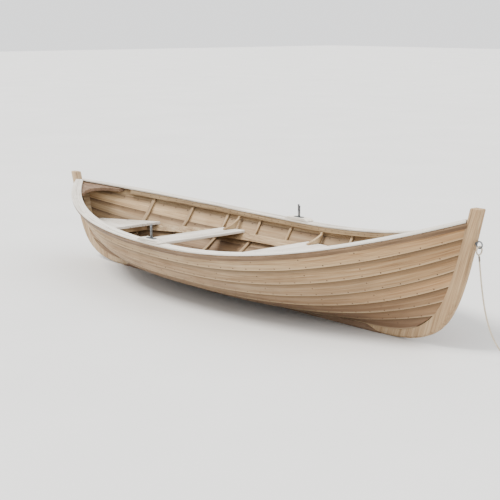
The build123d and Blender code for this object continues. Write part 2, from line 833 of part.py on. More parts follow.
def make_bench():
    """The stern bench: boards along the boat, cut to the curve of the planking, on two bearers."""
    low = SEAT_HEIGHT - THWART_THICK
    widest = 2 * seat_half(BENCH_FRONT, low)
    board = (widest - BENCH_SLOT * (BENCH_BOARDS - 1)) / BENCH_BOARDS
    with BuildPart() as bench:
        with BuildSketch(Plane.XY.offset(low)):
            Polygon(*seat_outline(BENCH_FRONT, BENCH_BACK, 8), align=None)
            with GridLocations(0, board + BENCH_SLOT, 1, BENCH_BOARDS - 1):
                with Locations(((BENCH_FRONT + BENCH_BACK) / 2, 0)):
                    Rectangle(BENCH_FRONT - BENCH_BACK + 2, BENCH_SLOT, mode=Mode.SUBTRACT)
        extrude(amount=THWART_THICK)
    finish(bench, "stern_bench")
    with BuildPart() as bearers:
        for x in (BENCH_FRONT - BEARER_INSET, BENCH_BACK + BEARER_INSET + 10):
            top = low - CLEARANCE
            half = seat_half(x, top - RISER_HEIGHT) - RISER_WIDTH - 5
            size = (BEARER_WIDTH, 2 * half, BEARER_HEIGHT)
            with Locations((x, 0, top)):
                Box(*size, align=(Align.CENTER, Align.CENTER, Align.MAX))
    finish(bearers, "bench_bearers")


def knee_profile(x):
    """A knee in the plane across the boat: its outer line, its foot's and head's ends and heights."""
    base = SEAT_HEIGHT + CLEARANCE
    top = sheer_height(x) - INWALE_HEIGHT - 3
    outer = [(seat_half(x, z) - 1.5, z) for z in (base, (base + top) / 2, top)]
    foot = outer[0][0] - KNEE_FOOT
    head = outer[2][0] - KNEE_ARM
    return outer, foot, head, base, top


def make_knees():
    with BuildPart() as knees:
        for middle in THWARTS.values():
            outer, foot, head, base, top = knee_profile(middle)
            slack = 4 + abs(seat_half(middle + 11, base) - seat_half(middle - 11, base))
            for side in (1, -1):
                with BuildSketch(cross_plane(middle - KNEE_THICK / 2)):
                    with BuildLine():
                        line = [(side * (y - slack), z) for y, z in outer]
                        Polyline((side * foot, base), *line, (side * head, top))
                        Line((side * head, top), (side * head, top - KNEE_TIP))
                        Spline(
                            (side * head, top - KNEE_TIP),
                            (side * (outer[0][0] - KNEE_ARM - KNEE_THROAT[0]), base + KNEE_THROAT[1]),
                            (side * foot, base + KNEE_TIP),
                        )
                        Line((side * foot, base + KNEE_TIP), (side * foot, base))
                    make_face()
                extrude(amount=KNEE_THICK)
    finish(knees, "thwart_knees")


# ---------------------------------------------------------------- bottom boards
BOARDS = {"bottom_board_port": 1, "bottom_board_centre": 0, "bottom_board_starboard": -1}


def board_outline(side):
    """Plan outline of a bottom board; the outer edge of a side board follows the ribs."""
    pitch = BOARD_WIDTH + BOARD_GAP
    if side == 0:
        half = BOARD_WIDTH / 2
        return [(BOARD_BACK, half), (BOARD_FRONT, half), (BOARD_FRONT, -half), (BOARD_BACK, -half)]
    inner, outer = side * (pitch - BOARD_WIDTH / 2), pitch + BOARD_WIDTH / 2
    edge = []
    for k in range(13):
        x = BOARD_BACK + (BOARD_FRONT - BOARD_BACK) * k / 12
        edge.append((x, side * min(outer, inside_half(x, FLOOR_HEIGHT, RIB_THICK + 5))))
    return [*edge, (BOARD_FRONT, inner), (BOARD_BACK, inner)]


def cleat_edges(side, x):
    """The two ends, across the boat, of a cleat under a bottom board at x."""
    pitch = BOARD_WIDTH + BOARD_GAP
    outer = min(pitch + BOARD_WIDTH / 2, inside_half(x, FLOOR_HEIGHT - CLEAT_THICK, RIB_THICK + 8)) - 8
    if side == 0:
        return (8 - BOARD_WIDTH / 2, BOARD_WIDTH / 2 - 8)
    return sorted((side * (pitch - BOARD_WIDTH / 2 + 8), side * outer))


def make_bottom_boards():
    """Three lift-out boards on the floor timbers, each with two cleats that sit between the timbers."""
    low = FLOOR_HEIGHT + CLEARANCE
    for name, side in BOARDS.items():
        outline = board_outline(side)
        with BuildPart() as board:
            with BuildSketch(Plane.XY.offset(low)):
                Polygon(*outline, align=None)
            extrude(amount=BOARD_THICK)
            for x in CLEATS:
                edges = cleat_edges(side, x)
                with Locations((x, sum(edges) / 2, low)):
                    size = (CLEAT_WIDTH, edges[1] - edges[0], CLEAT_THICK)
                    Box(*size, align=(Align.CENTER, Align.CENTER, Align.MAX))
        finish(board, name)


# ---------------------------------------------------------------- rowlocks
def rowlock_seat():
    """Middle of the port rowlock's socket on top of its pad, and the cap's direction in plan there."""
    t = at_t(lambda v: knuckle(STRAKES, v), ROWLOCK_X)
    plane, _, thick = sheer_frame(t)
    inner = inwale_start(thick) - INWALE_WIDTH
    centre = plane.origin + plane.x_dir * ((RAIL_WIDTH + inner) / 2)
    top = plane.origin.Z + CLEARANCE + CAP_THICK
    return Vector(centre.X, centre.Y, top), plane.x_dir


def make_pads(seat, out, top):
    width = RAIL_WIDTH + PLANK + RIB_THICK + INWALE_WIDTH
    base = Plane((seat.X, seat.Y, top - PAD_HEIGHT), x_dir=(out.Y, -out.X, 0), z_dir=(0, 0, 1))
    with BuildPart() as pads:
        with BuildSketch(base):
            Rectangle(PAD_LENGTH, width)
        extrude(amount=PAD_HEIGHT)
        ends = pads.edges().group_by(Axis.Z)[-1].filter_by(Axis.Y, tolerance=10)
        chamfer(ends, length=PAD_BEVEL[0], length2=PAD_BEVEL[1])
        with Locations(Plane((seat.X, seat.Y, top))):
            Hole(SOCKET_RADIUS + CLEARANCE, depth=PAD_HEIGHT + 5)
        mirror(about=Plane.XZ)
    finish(pads, "rowlock_pads")


def make_sockets(seat, top):
    """Plates on the pads, each with a tube down through its pad."""
    tube = PAD_HEIGHT + CLEARANCE
    with BuildPart() as sockets:
        with Locations((seat.X, seat.Y, top)):
            Box(*PLATE, align=(Align.CENTER, Align.CENTER, Align.MIN))
            Cylinder(SOCKET_RADIUS, tube, align=(Align.CENTER, Align.CENTER, Align.MAX))
        fillet(sockets.edges().filter_by(Axis.Z).group_by(SortBy.LENGTH)[0], radius=PLATE_CORNER)
        with Locations(Plane((seat.X, seat.Y, top + PLATE[2]))):
            Hole(SHANK_RADIUS + SHANK_CLEARANCE, depth=PAD_HEIGHT + PLATE[2] + 5)
        mirror(about=Plane.XZ)
    finish(sockets, "rowlock_sockets")


def make_rowlock(collar):
    """A rowlock round the Z axis, its collar's foot at that height."""
    r = CRUTCH_RADIUS + CRUTCH_BAR
    middle = collar + COLLAR_HEIGHT - 2 + r
    shank = PAD_HEIGHT + PLATE[2] - 1
    with BuildPart() as rowlock:
        with BuildLine(Plane((0, 0, middle), x_dir=(1, 0, 0), z_dir=(0, -1, 0))) as crook:
            Line((-r, CRUTCH_HORN), (-r, 0))
            CenterArc((0, 0), r, 180, 180)
            Line((r, 0), (r, CRUTCH_HORN))
        with BuildSketch(Plane((-r, 0, middle + CRUTCH_HORN), z_dir=(0, 0, -1))):
            Circle(CRUTCH_BAR)
        sweep(path=crook.wires()[0])
        with Locations((-r, 0, middle + CRUTCH_HORN), (r, 0, middle + CRUTCH_HORN)):
            Sphere(HORN_TIP)
        with Locations((0, 0, collar)):
            Cone(*COLLAR_RADII, COLLAR_HEIGHT, align=(Align.CENTER, Align.CENTER, Align.MIN))
            Cylinder(SHANK_RADIUS, shank, align=(Align.CENTER, Align.CENTER, Align.MAX))
    return rowlock


def make_rowlocks():
    seat, out = rowlock_seat()
    pad_top = seat.Z + PAD_ROOM + PAD_HEIGHT
    plate = pad_top + CLEARANCE
    make_pads(seat, out, pad_top)
    make_sockets(seat, plate)
    rowlock = make_rowlock(plate + PLATE[2] + CLEARANCE)
    for name, side in (("rowlock_port", 1), ("rowlock_starboard", -1)):
        with BuildPart() as placed:
            with Locations(Location((seat.X, side * seat.Y, 0), (0, 0, ROWLOCK_TURN))):
                add(rowlock.part)
        finish(placed, name)


# ---------------------------------------------------------------- mooring eye and painter
def make_mooring_eye():
    """An eye bolt through the stem and its apron, with the ring upright and a collar against the stem."""
    face = eye_plane()
    ring = face.origin + face.z_dir * (EYE_STAND + EYE_RADIUS + EYE_BAR)
    through = POST_DEPTH + APRON_DEPTH + NUT_HEIGHT + WASHER_THICK + 10.5
    with BuildPart() as eye:
        with Locations(Location(ring, (90, 0, 0))):
            Torus(EYE_RADIUS + EYE_BAR, EYE_BAR)
        with BuildSketch(face.offset(6)):
            Circle(EYE_SHANK)
        extrude(amount=-through)
        with BuildSketch(face.offset(CLEARANCE)):
            Circle(EYE_COLLAR)
        extrude(amount=4)
    finish(eye, "mooring_eye")
    return ring


def make_eye_nut():
    """A washer and nut on the bolt, inside the apron."""
    face = eye_plane()
    share = rabbet_share(BOW_RABBET, EYE_HEIGHT + 16)
    x, z = bezier(BOW_RABBET, share)
    reach = (Vector(x, 0, z) - face.origin).dot(face.z_dir) - CLEARANCE - APRON_DEPTH - 1.0
    seat = face.offset(reach)
    with BuildPart() as nut:
        with BuildSketch(seat):
            Circle(WASHER_RADIUS)
        extrude(amount=-WASHER_THICK)
        with BuildSketch(seat.offset(-WASHER_THICK)):
            RegularPolygon(NUT_RADIUS, 6)
        extrude(amount=-NUT_HEIGHT)
        with BuildSketch(seat.offset(1)):
            Circle(EYE_SHANK + NUT_CLEARANCE)
        extrude(amount=-20, mode=Mode.SUBTRACT)
    finish(nut, "mooring_eye_nut")


def rope_radii():
    """Corner radii of the painter's route: 0.45 of the shorter run over the tangent of half the turn."""
    points = [Vector(*p) for p in PAINTER_ROUTE]
    radii = []
    for a, b, c in zip(points, points[1:], points[2:]):
        turn = radians((b - a).get_angle(c - b))
        run = min((b - a).length, (c - b).length)
        radii.append(0.45 * run / tan(turn / 2))
    return radii


def make_painter():
    radii = rope_radii()
    print("painter radii, mm:", [round(r) for r in radii])
    with BuildPart() as painter:
        with BuildLine() as route:
            FilletPolyline(*PAINTER_ROUTE, radius=radii)
        path = route.wire()
        with BuildSketch(Plane(path @ 0, z_dir=path % 0)):
            Circle(ROPE / 2)
        sweep(path=path)
    finish(painter, "painter")
    share = painter.part.volume / (pi * ROPE**2 / 4 * path.length)
    print("painter length, mm:", round(path.length))
    print("its volume over its section times its length:", round(share, 4))


def make_splice(ring):
    """The spliced eye: a closed loop of rope through the mooring eye, ending where the painter starts."""
    loop = ROPE_LOOP + ROPE / 2
    hang = ring.Z - EYE_RADIUS + ROPE / 2 + GAP - loop
    with BuildPart() as splice:
        with Locations(Location((ring.X, 0, hang), (0, 90, 0))):
            Torus(loop, ROPE / 2)
    finish(splice, "painter_splice")


def make_coil():
    """The outer shape of the painter's put-away turns."""
    with BuildPart() as coil:
        with BuildSketch(Plane((*COIL_CENTRE, 0), x_dir=(1, 0, 0), z_dir=(0, -1, 0))):
            with Locations((COIL_RADIUS, COIL_HEIGHT / 2)):
                RectangleRounded(COIL_WIDTH, COIL_HEIGHT, COIL_HEIGHT * 0.4)
        revolve(axis=Axis((*COIL_CENTRE, 0), (0, 0, 1)))
    finish(coil, "painter_coil")


def make_bung():
    """A plug through the garboard, with a flange inside and a grip."""
    point, up = bung_axis()
    with BuildPart() as bung:
        with BuildSketch(Plane(point, z_dir=up)):
            Circle(BUNG_RADIUS)
        extrude(amount=PLANK + 4)
        with BuildSketch(Plane(point + up * (PLANK + 0.6), z_dir=up)):
            Circle(BUNG_RADIUS + BUNG_FLANGE)
        extrude(amount=BUNG_HEIGHT)
        with BuildSketch(Plane(point + up * (PLANK + BUNG_HEIGHT), z_dir=up)):
            Circle(BUNG_RADIUS / 2)
        extrude(amount=12)
    finish(bung, "drain_bung")


make_strakes()
make_keel()
make_hog()
make_post("stem", BOW_FACE, BOW_RABBET, eye=True)
make_post("sternpost", STERN_FACE, STERN_RABBET)
make_apron("stem_apron", BOW_RABBET, SHEER_BOW, eye=True)
make_apron("stern_apron", STERN_RABBET, SHEER_STERN)
make_ribs()
make_floor_timbers()
make_gunwales()
make_breasthook("bow_breasthook", True)
make_breasthook("stern_breasthook", False)
make_risers()
make_thwarts()
make_bench()
make_knees()
make_bottom_boards()
make_rowlocks()
eye_ring = make_mooring_eye()
make_eye_nut()
make_painter()
make_splice(eye_ring)
make_coil()
make_bung()
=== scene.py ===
"""The looks of a double-ended clinker rowing boat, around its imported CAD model.

Metres. +X points to the bow, +Y to port and +Z up, with the ground at Z = 0.
"""

import json
from functools import lru_cache
from math import asin, atan2, cos, pi, radians, sin

import bmesh
import bpy
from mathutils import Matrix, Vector

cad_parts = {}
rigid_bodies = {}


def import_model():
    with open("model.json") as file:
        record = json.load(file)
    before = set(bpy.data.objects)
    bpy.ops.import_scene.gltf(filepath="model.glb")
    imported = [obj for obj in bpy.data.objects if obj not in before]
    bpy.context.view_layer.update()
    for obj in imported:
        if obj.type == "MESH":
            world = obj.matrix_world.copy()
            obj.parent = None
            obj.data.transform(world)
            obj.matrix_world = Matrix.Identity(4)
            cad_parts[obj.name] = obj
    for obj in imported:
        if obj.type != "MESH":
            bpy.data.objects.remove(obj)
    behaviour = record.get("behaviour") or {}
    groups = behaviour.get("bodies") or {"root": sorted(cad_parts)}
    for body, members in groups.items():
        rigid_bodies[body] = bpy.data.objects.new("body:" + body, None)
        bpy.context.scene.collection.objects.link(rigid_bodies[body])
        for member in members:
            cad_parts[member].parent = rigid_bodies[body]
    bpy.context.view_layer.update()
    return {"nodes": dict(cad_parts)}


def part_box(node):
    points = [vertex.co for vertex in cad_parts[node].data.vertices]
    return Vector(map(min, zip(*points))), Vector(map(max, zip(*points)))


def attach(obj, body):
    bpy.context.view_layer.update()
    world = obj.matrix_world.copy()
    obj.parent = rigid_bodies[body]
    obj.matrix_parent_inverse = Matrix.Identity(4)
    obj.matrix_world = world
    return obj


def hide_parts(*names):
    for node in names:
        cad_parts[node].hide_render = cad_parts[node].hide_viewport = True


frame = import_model()

# ---------------------------------------------------------------- dimensions shared with the CAD
LENGTH = 4.3  # over the posts
BEAM = 1.38  # outside the planking
HULL_DEPTH = 0.395  # keel rabbet to sheer, amidships
BOW_RISE = 0.35  # the sheer at the stem above the sheer amidships
STERN_RISE = 0.178
STEM_HEAD = 0.085  # the posts stand this far above the sheer
STERN_HEAD = 0.07
CLEARANCE = 0.0004  # bedding between pieces that fit each other
GAP = 0.0003  # bedding between two strakes, in the lap

STRAKES = 7  # on each side
PLANK = 0.011
LAP = 0.024
SECTION_SWEEP = radians(80)  # turn of the midship section from keel to sheer
DEADRISE = 0.12  # share of the depth that rises evenly across the section
PLAN_POWER = (2.2, 0.3)  # fineness of the ends: at the keel, and what is added up to the sheer
HOLLOW_POWER = (0.5, -0.5)  # hollow of the ends, likewise
RISE_POWER = (4.2, -2.1)  # upward sweep of the strakes to the posts, likewise
LAP_STEP = 0.97  # share of a plank's thickness that each lap stands proud amidships
HOOD_STEP = 0.35  # and where a strake meets a post
HOOD_FADE = 0.3  # share of the half length over which the laps fade to that
HOOD_HALF = 0.022  # half the breadth of the planking where it meets a post
FOOT_RISE = 0.055  # the garboard's hood end starts this far above the keel rabbet

KEEL_WIDTH = 0.076
KEEL_SHOULDER = 0.005  # the garboard lands this far in from the keel's side
KEEL_RABBET = 0.04
KEEL_HALF_LENGTH = 1.4
RABBET_START = 0.1  # the rabbet starts to rise this far before the keel's end
RABBET_REACH = (0.29, 0.245)  # the rabbet's turn, in from the post's head
RABBET_LIFT = 0.025
FOREFOOT_SHARE = 0.22  # share of a post's height where its curve turns upward
POST_DEPTH = 0.08

RIB_COUNT = 10
RIB_SPAN = 2.96
RIB_THICK = 0.012
RIB_SLOPE = 0.0055  # how far the ribs' heads lean in over the height of the inwale
RAIL_WIDTH = 0.027
RAIL_HEIGHT = 0.036
RAIL_TAPER = 0.22  # share of the half length over which the rub rail narrows
RAIL_END = 0.35  # share of its width that is left at the posts
RAIL_BEDDING = 0.0022  # play between the planking and the inwale, beyond the ribs' thickness
INWALE_WIDTH = 0.02
INWALE_HEIGHT = 0.034
CAP_THICK = 0.014
CAP_OVERHANG = 0.003
BREASTHOOK_REACH = 0.3

ROPE = 0.010
COIL_CENTRE = (2.395, 0.700)
PAINTER_ROUTE = [  # from the spliced eye down to the ground and along it to the coil
    (2.1244, 0.0, 0.5992),
    (2.138, -0.002, 0.512),
    (2.158, -0.005, 0.405),
    (2.186, -0.009, 0.292),
    (2.226, -0.013, 0.190),
    (2.288, -0.014, 0.096),
    (2.372, -0.005, 0.030),
    (2.470, 0.016, 0.005),
    (2.558, 0.066, 0.005),
    (2.612, 0.150, 0.005),
    (2.616, 0.243, 0.005),
    (2.579, 0.332, 0.005),
    (2.529, 0.412, 0.005),
    (2.493, 0.494, 0.005),
    (2.476, 0.574, 0.005),
    (2.4724, 0.645, 0.005),
]

SHEER_MID = KEEL_RABBET + HULL_DEPTH
SHEER_BOW = SHEER_MID + BOW_RISE
SHEER_STERN = SHEER_MID + STERN_RISE
HALF = LENGTH / 2
FOOT = KEEL_RABBET + FOOT_RISE
DELTA = 1e-4  # small step of t, for directions along the hull


# ---------------------------------------------------------------- the hull's form
def bezier(points, u):
    """The point at u on a cubic through four control points."""
    v = 1 - u
    weights = (v**3, 3 * u * v**2, 3 * u**2 * v, u**3)
    return tuple(sum(w * p[k] for w, p in zip(weights, points)) for k in range(2))


def rabbet_table(head, sign):
    """Points along a post's rabbet, from the keel up to the head."""
    curve = [
        (KEEL_HALF_LENGTH - RABBET_START, KEEL_RABBET),
        (HALF - RABBET_REACH[0], KEEL_RABBET),
        (HALF - RABBET_REACH[1], FOREFOOT_SHARE * head + RABBET_LIFT),
        (HALF - POST_DEPTH, head),
    ]
    steps = 400
    return [bezier([(sign * x, z) for x, z in curve], k / steps) for k in range(steps + 1)]


RABBETS = {
    1: rabbet_table(SHEER_BOW + STEM_HEAD, 1),
    -1: rabbet_table(SHEER_STERN + STERN_HEAD, -1),
}


def read_table(table, value, given, wanted):
    """The wanted coordinate where the given one, which grows in size along the table, has that value."""
    for a, b in zip(table, table[1:]):
        if abs(b[given]) >= abs(value):
            share = (abs(value) - abs(a[given])) / max(abs(b[given]) - abs(a[given]), 1e-9)
            return a[wanted] + (b[wanted] - a[wanted]) * share
    return table[-1][wanted]


@lru_cache(maxsize=None)
def knuckle_ends(j):
    """Height and X of the hood ends of knuckle line j, aft and forward."""
    heights = [FOOT + (sheer - FOOT) * j / STRAKES for sheer in (SHEER_STERN, SHEER_BOW)]
    aft = read_table(RABBETS[-1], heights[0], 1, 0) + CLEARANCE
    ahead = read_table(RABBETS[1], heights[1], 1, 0) - CLEARANCE
    return heights, (aft, ahead)


@lru_cache(maxsize=None)
def knuckle(j, t):
    """Point at the outside of the lower edge of strake j, to port.

    t runs from -1 at the sternpost to 1 at the stem.
    """
    share, size = j / STRAKES, abs(t)
    heights, ends = knuckle_ends(j)
    x = ends[0] + (ends[1] - ends[0]) * (t + 1) / 2
    keel_half = KEEL_WIDTH / 2 - KEEL_SHOULDER
    if j == 0:
        y = HOOD_HALF + (keel_half - HOOD_HALF) * (1 - size**4)
        rabbet = RABBETS[1 if x > 0 else -1]
        on_keel = abs(x) <= KEEL_HALF_LENGTH - RABBET_START
        z = KEEL_RABBET if on_keel else read_table(rabbet, x, 0, 1)
        return Vector((x, y, z + CLEARANCE))
    y_mid = keel_half + (BEAM / 2 - keel_half) * sin(share * SECTION_SWEEP) / sin(SECTION_SWEEP)
    turned = (1 - cos(share * SECTION_SWEEP)) / (1 - cos(SECTION_SWEEP))
    z_mid = KEEL_RABBET + HULL_DEPTH * (DEADRISE * share + (1 - DEADRISE) * turned)
    base = 1 - size ** (PLAN_POWER[0] + PLAN_POWER[1] * share)
    y = HOOD_HALF + (y_mid - HOOD_HALF) * base * abs(base) ** (HOLLOW_POWER[0] + HOLLOW_POWER[1] * share)
    z_end = heights[1 if t >= 0 else 0]
    z = z_mid + (z_end - z_mid) * size ** (RISE_POWER[0] + RISE_POWER[1] * share)
    return Vector((x, y, z))


def step_share(t):
    """How far a lap stands proud, as a share of a plank's thickness: less at the posts."""
    near = min(1.0, max(0.0, (1 - abs(t)) / HOOD_FADE))
    return HOOD_STEP + (LAP_STEP - HOOD_STEP) * near * near * (3 - 2 * near)


@lru_cache(maxsize=None)
def strake_frame(j, t):
    """Corner, direction up the outer face, outward normal, along, face width and step of strake j at t."""
    low, high = knuckle(j, t), knuckle(j + 1, t)
    ahead = knuckle(j, t + DELTA) + knuckle(j + 1, t + DELTA)
    behind = knuckle(j, t - DELTA) + knuckle(j + 1, t - DELTA)
    along = (ahead - behind).normalized()
    width = high - low
    rise = width.normalized()
    out = rise.cross(along).normalized()
    step = 0.0 if j == 0 else PLANK * step_share(t) + GAP
    lean = asin(step / width.length)
    up = rise * cos(lean) - out * sin(lean)
    normal = out * cos(lean) + rise * sin(lean)
    return low + normal * step, up, normal, along, width.length * cos(lean), step


def landing(j, t, origin, across):
    """Where strake j's inner face, at the top of its lap, crosses the plane at origin square to across."""
    for _ in range(4):  # Newton's steps
        corner, up, normal, along = strake_frame(j, t)[:4]
        point = corner + up * LAP - normal * (PLANK + GAP)
        t -= (point - origin).dot(across) / (HALF * along.dot(across))
    return point


def strake_points(j, t):
    """The corners of strake j's cross-section at t, from its outer lower edge round to its inner one."""
    corner, up, normal, _, face, step = strake_frame(j, t)
    proud = PLANK if j == 0 else step - GAP
    if j == STRAKES - 1:
        top = [corner + up * face, corner + up * (face + PLANK * normal.z / up.z) - normal * PLANK]
    else:
        lap_top = landing(j + 1, t, corner, up.cross(normal))
        top = [corner + up * face, lap_top, corner + up * (face + LAP) - normal * PLANK]
    foot = [corner + up * LAP - normal * PLANK, corner - normal * proud]
    return [corner, corner + up * face * 0.5, *top, *foot]


def sheer_frame(t):
    """Point on the sheer, outward direction in plan, the planking's flare and its thickness, level."""
    along = knuckle(STRAKES, t + DELTA) - knuckle(STRAKES, t - DELTA)
    along = Vector((along.x, along.y, 0)).normalized()
    out = Vector((-along.y, along.x, 0))
    up = strake_frame(STRAKES - 1, t)[1]
    return knuckle(STRAKES, t), out, up.dot(out) / up.z, PLANK / cos(atan2(up.dot(out), up.z))


def rail_taper(t):
    """1 along the boat, falling to RAIL_END at the posts."""
    near = min(1.0, (1 - abs(t)) / RAIL_TAPER)
    return RAIL_END + (1 - RAIL_END) * near * (2 - near)


def rub_rail_profile(t):
    """Corners outward and upward from the sheer: square above, tapered below."""
    _, _, flare, _ = sheer_frame(t)
    lean, wide = flare * RAIL_HEIGHT, RAIL_WIDTH * rail_taper(t)
    return [
        (2 * CLEARANCE, 0),
        (wide, 0),
        (wide, -0.3 * RAIL_HEIGHT),
        (wide * 0.75 - lean, -RAIL_HEIGHT),
        (2 * CLEARANCE - lean, -RAIL_HEIGHT),
    ]


def inwale_start(t):
    """How far inside the sheer the inwale starts, past the planking and the ribs."""
    thick = sheer_frame(t)[3]
    return -thick - RIB_THICK * thick / PLANK - RAIL_BEDDING


def inwale_profile(t):
    """Corners of the inwale, leaning with the planking and the ribs."""
    lean, start = sheer_frame(t)[2] * INWALE_HEIGHT, inwale_start(t)
    return [
        (start, 0),
        (start - lean - RIB_SLOPE, -INWALE_HEIGHT),
        (start - lean - INWALE_WIDTH, -INWALE_HEIGHT),
        (start - INWALE_WIDTH, 0),
    ]


def cap_profile(t):
    """Corners of the cap, over the rub rail, the planking and the inwale."""
    outer = RAIL_WIDTH * rail_taper(t) + CAP_OVERHANG
    inner = inwale_start(t) - INWALE_WIDTH - CAP_OVERHANG
    low, high = CLEARANCE, CLEARANCE + CAP_THICK
    return [(outer, low), (outer, high), (inner, high), (inner, low)]


def profile_points(profile, t):
    """A rail's cross-section at t, kept on its own side of the centreline."""
    origin, out, _, _ = sheer_frame(t)
    points = [origin + out * a + Vector((0, 0, b)) for a, b in profile(t)]
    return [Vector((p.x, max(p.y, CLEARANCE), p.z)) for p in points]


# ---------------------------------------------------------------- materials
class Nodes:
    """A material's node tree, with short calls for the nodes used here."""

    def __init__(self, name):
        self.material = bpy.data.materials.new(name)
        self.material.use_nodes = True
        self.tree = self.material.node_tree
        self.shader = self.tree.nodes["Principled BSDF"]
        self.tilt = 0.0

    def add(self, kind, **settings):
        """A new node with those settings."""
        node = self.tree.nodes.new(kind)
        for key, value in settings.items():
            setattr(node, key, value)
        return node

    def join(self, output, socket):
        """Links an output to an input."""
        self.tree.links.new(output, socket)

    def coords(self, source, scale):
        """The chosen coordinates, scaled along each axis."""
        mapping = self.add("ShaderNodeMapping")
        mapping.vector_type = "TEXTURE"
        mapping.inputs["Scale"].default_value = [1 / number for number in scale]
        mapping.inputs["Rotation"].default_value = (0.0, radians(self.tilt), 0.0)
        self.join(self.add("ShaderNodeTexCoord").outputs[source], mapping.inputs["Vector"])
        return mapping.outputs["Vector"]

    def noise(self, vector, scale, detail, distortion=0.0):
        """Fractal noise, about 0.3 to 0.7."""
        node = self.add("ShaderNodeTexNoise")
        node.inputs["Scale"].default_value = scale
        node.inputs["Detail"].default_value = detail
        node.inputs["Distortion"].default_value = distortion
        self.join(vector, node.inputs["Vector"])
        return node.outputs["Fac"]

    def ramp(self, value, stops):
        """A colour ramp through (place, colour) stops."""
        node = self.add("ShaderNodeValToRGB")
        points = node.color_ramp.elements
        while len(points) < len(stops):
            points.new(0.5)
        for point, (place, colour) in zip(points, stops):
            point.position = place
            point.color = (*colour, 1.0)
        self.join(value, node.inputs["Fac"])
        return node.outputs["Color"]

    def span(self, value, low, high, to_low, to_high):
        """The value carried from low..high to to_low..to_high, and held there outside it."""
        node = self.add("ShaderNodeMapRange")
        limits = {"From Min": low, "From Max": high, "To Min": to_low, "To Max": to_high}
        for key, number in limits.items():
            node.inputs[key].default_value = number
        self.join(value, node.inputs["Value"])
        return node.outputs["Result"]

    def mix(self, share, first, second, blend="MIX"):
        """Colour mix; share, first and second are sockets or values."""
        node = self.add("ShaderNodeMix", data_type="RGBA", blend_type=blend)
        for value, socket in ((share, node.inputs[0]), (first, node.inputs[6]), (second, node.inputs[7])):
            if isinstance(value, bpy.types.NodeSocket):
                self.join(value, socket)
            else:
                socket.default_value = value if isinstance(value, float) else (*value, 1.0)
        return node.outputs[2]

    def maths(self, operation, first, second):
        """One step of arithmetic on two sockets or numbers."""
        node = self.add("ShaderNodeMath", operation=operation)
        for value, socket in ((first, node.inputs[0]), (second, node.inputs[1])):
            if isinstance(value, bpy.types.NodeSocket):
                self.join(value, socket)
            else:
                socket.default_value = value
        return node.outputs[0]

    def bump(self, height, distance, strength):
        """Relief of the shader's surface, distance metres high."""
        node = self.add("ShaderNodeBump")
        node.inputs["Distance"].default_value = distance
        node.inputs["Strength"].default_value = strength
        self.join(height, node.inputs["Height"])
        self.join(node.outputs["Normal"], self.shader.inputs["Normal"])


GRAIN = {  # stretch of the coordinates, so that the grain runs along one axis
    "X": (1.0, 40.0, 40.0),
    "Y": (40.0, 1.0, 40.0),
    "Z": (40.0, 40.0, 1.0),
    "YZ": (40.0, 1.6, 1.6),
}
SEAM_MAP = "Across"  # UV map whose u runs from 0 at a plank's lower edge to 1 at the next plank's edge
NOISE_SPAN = (0.3, 0.7)  # the range that most of a noise's values lie in
STAIN_SPAN = (0.10, 0.44)  # heights between which the stain of the water fades
BOW_TINT_SPAN = (0.7, 2.0)  # places along the boat between which the bow's tint grows
CRACK_SPAN = (0.66, 0.74)  # the noise's rare high values, which open as cracks and pores
# The first share gives the painted shade and the dirt under each plank's lap.
LAP_SHADE_AND_DIRT, CRACK_DIRT = 0.3, 0.35  # shares of a wood's dark tone


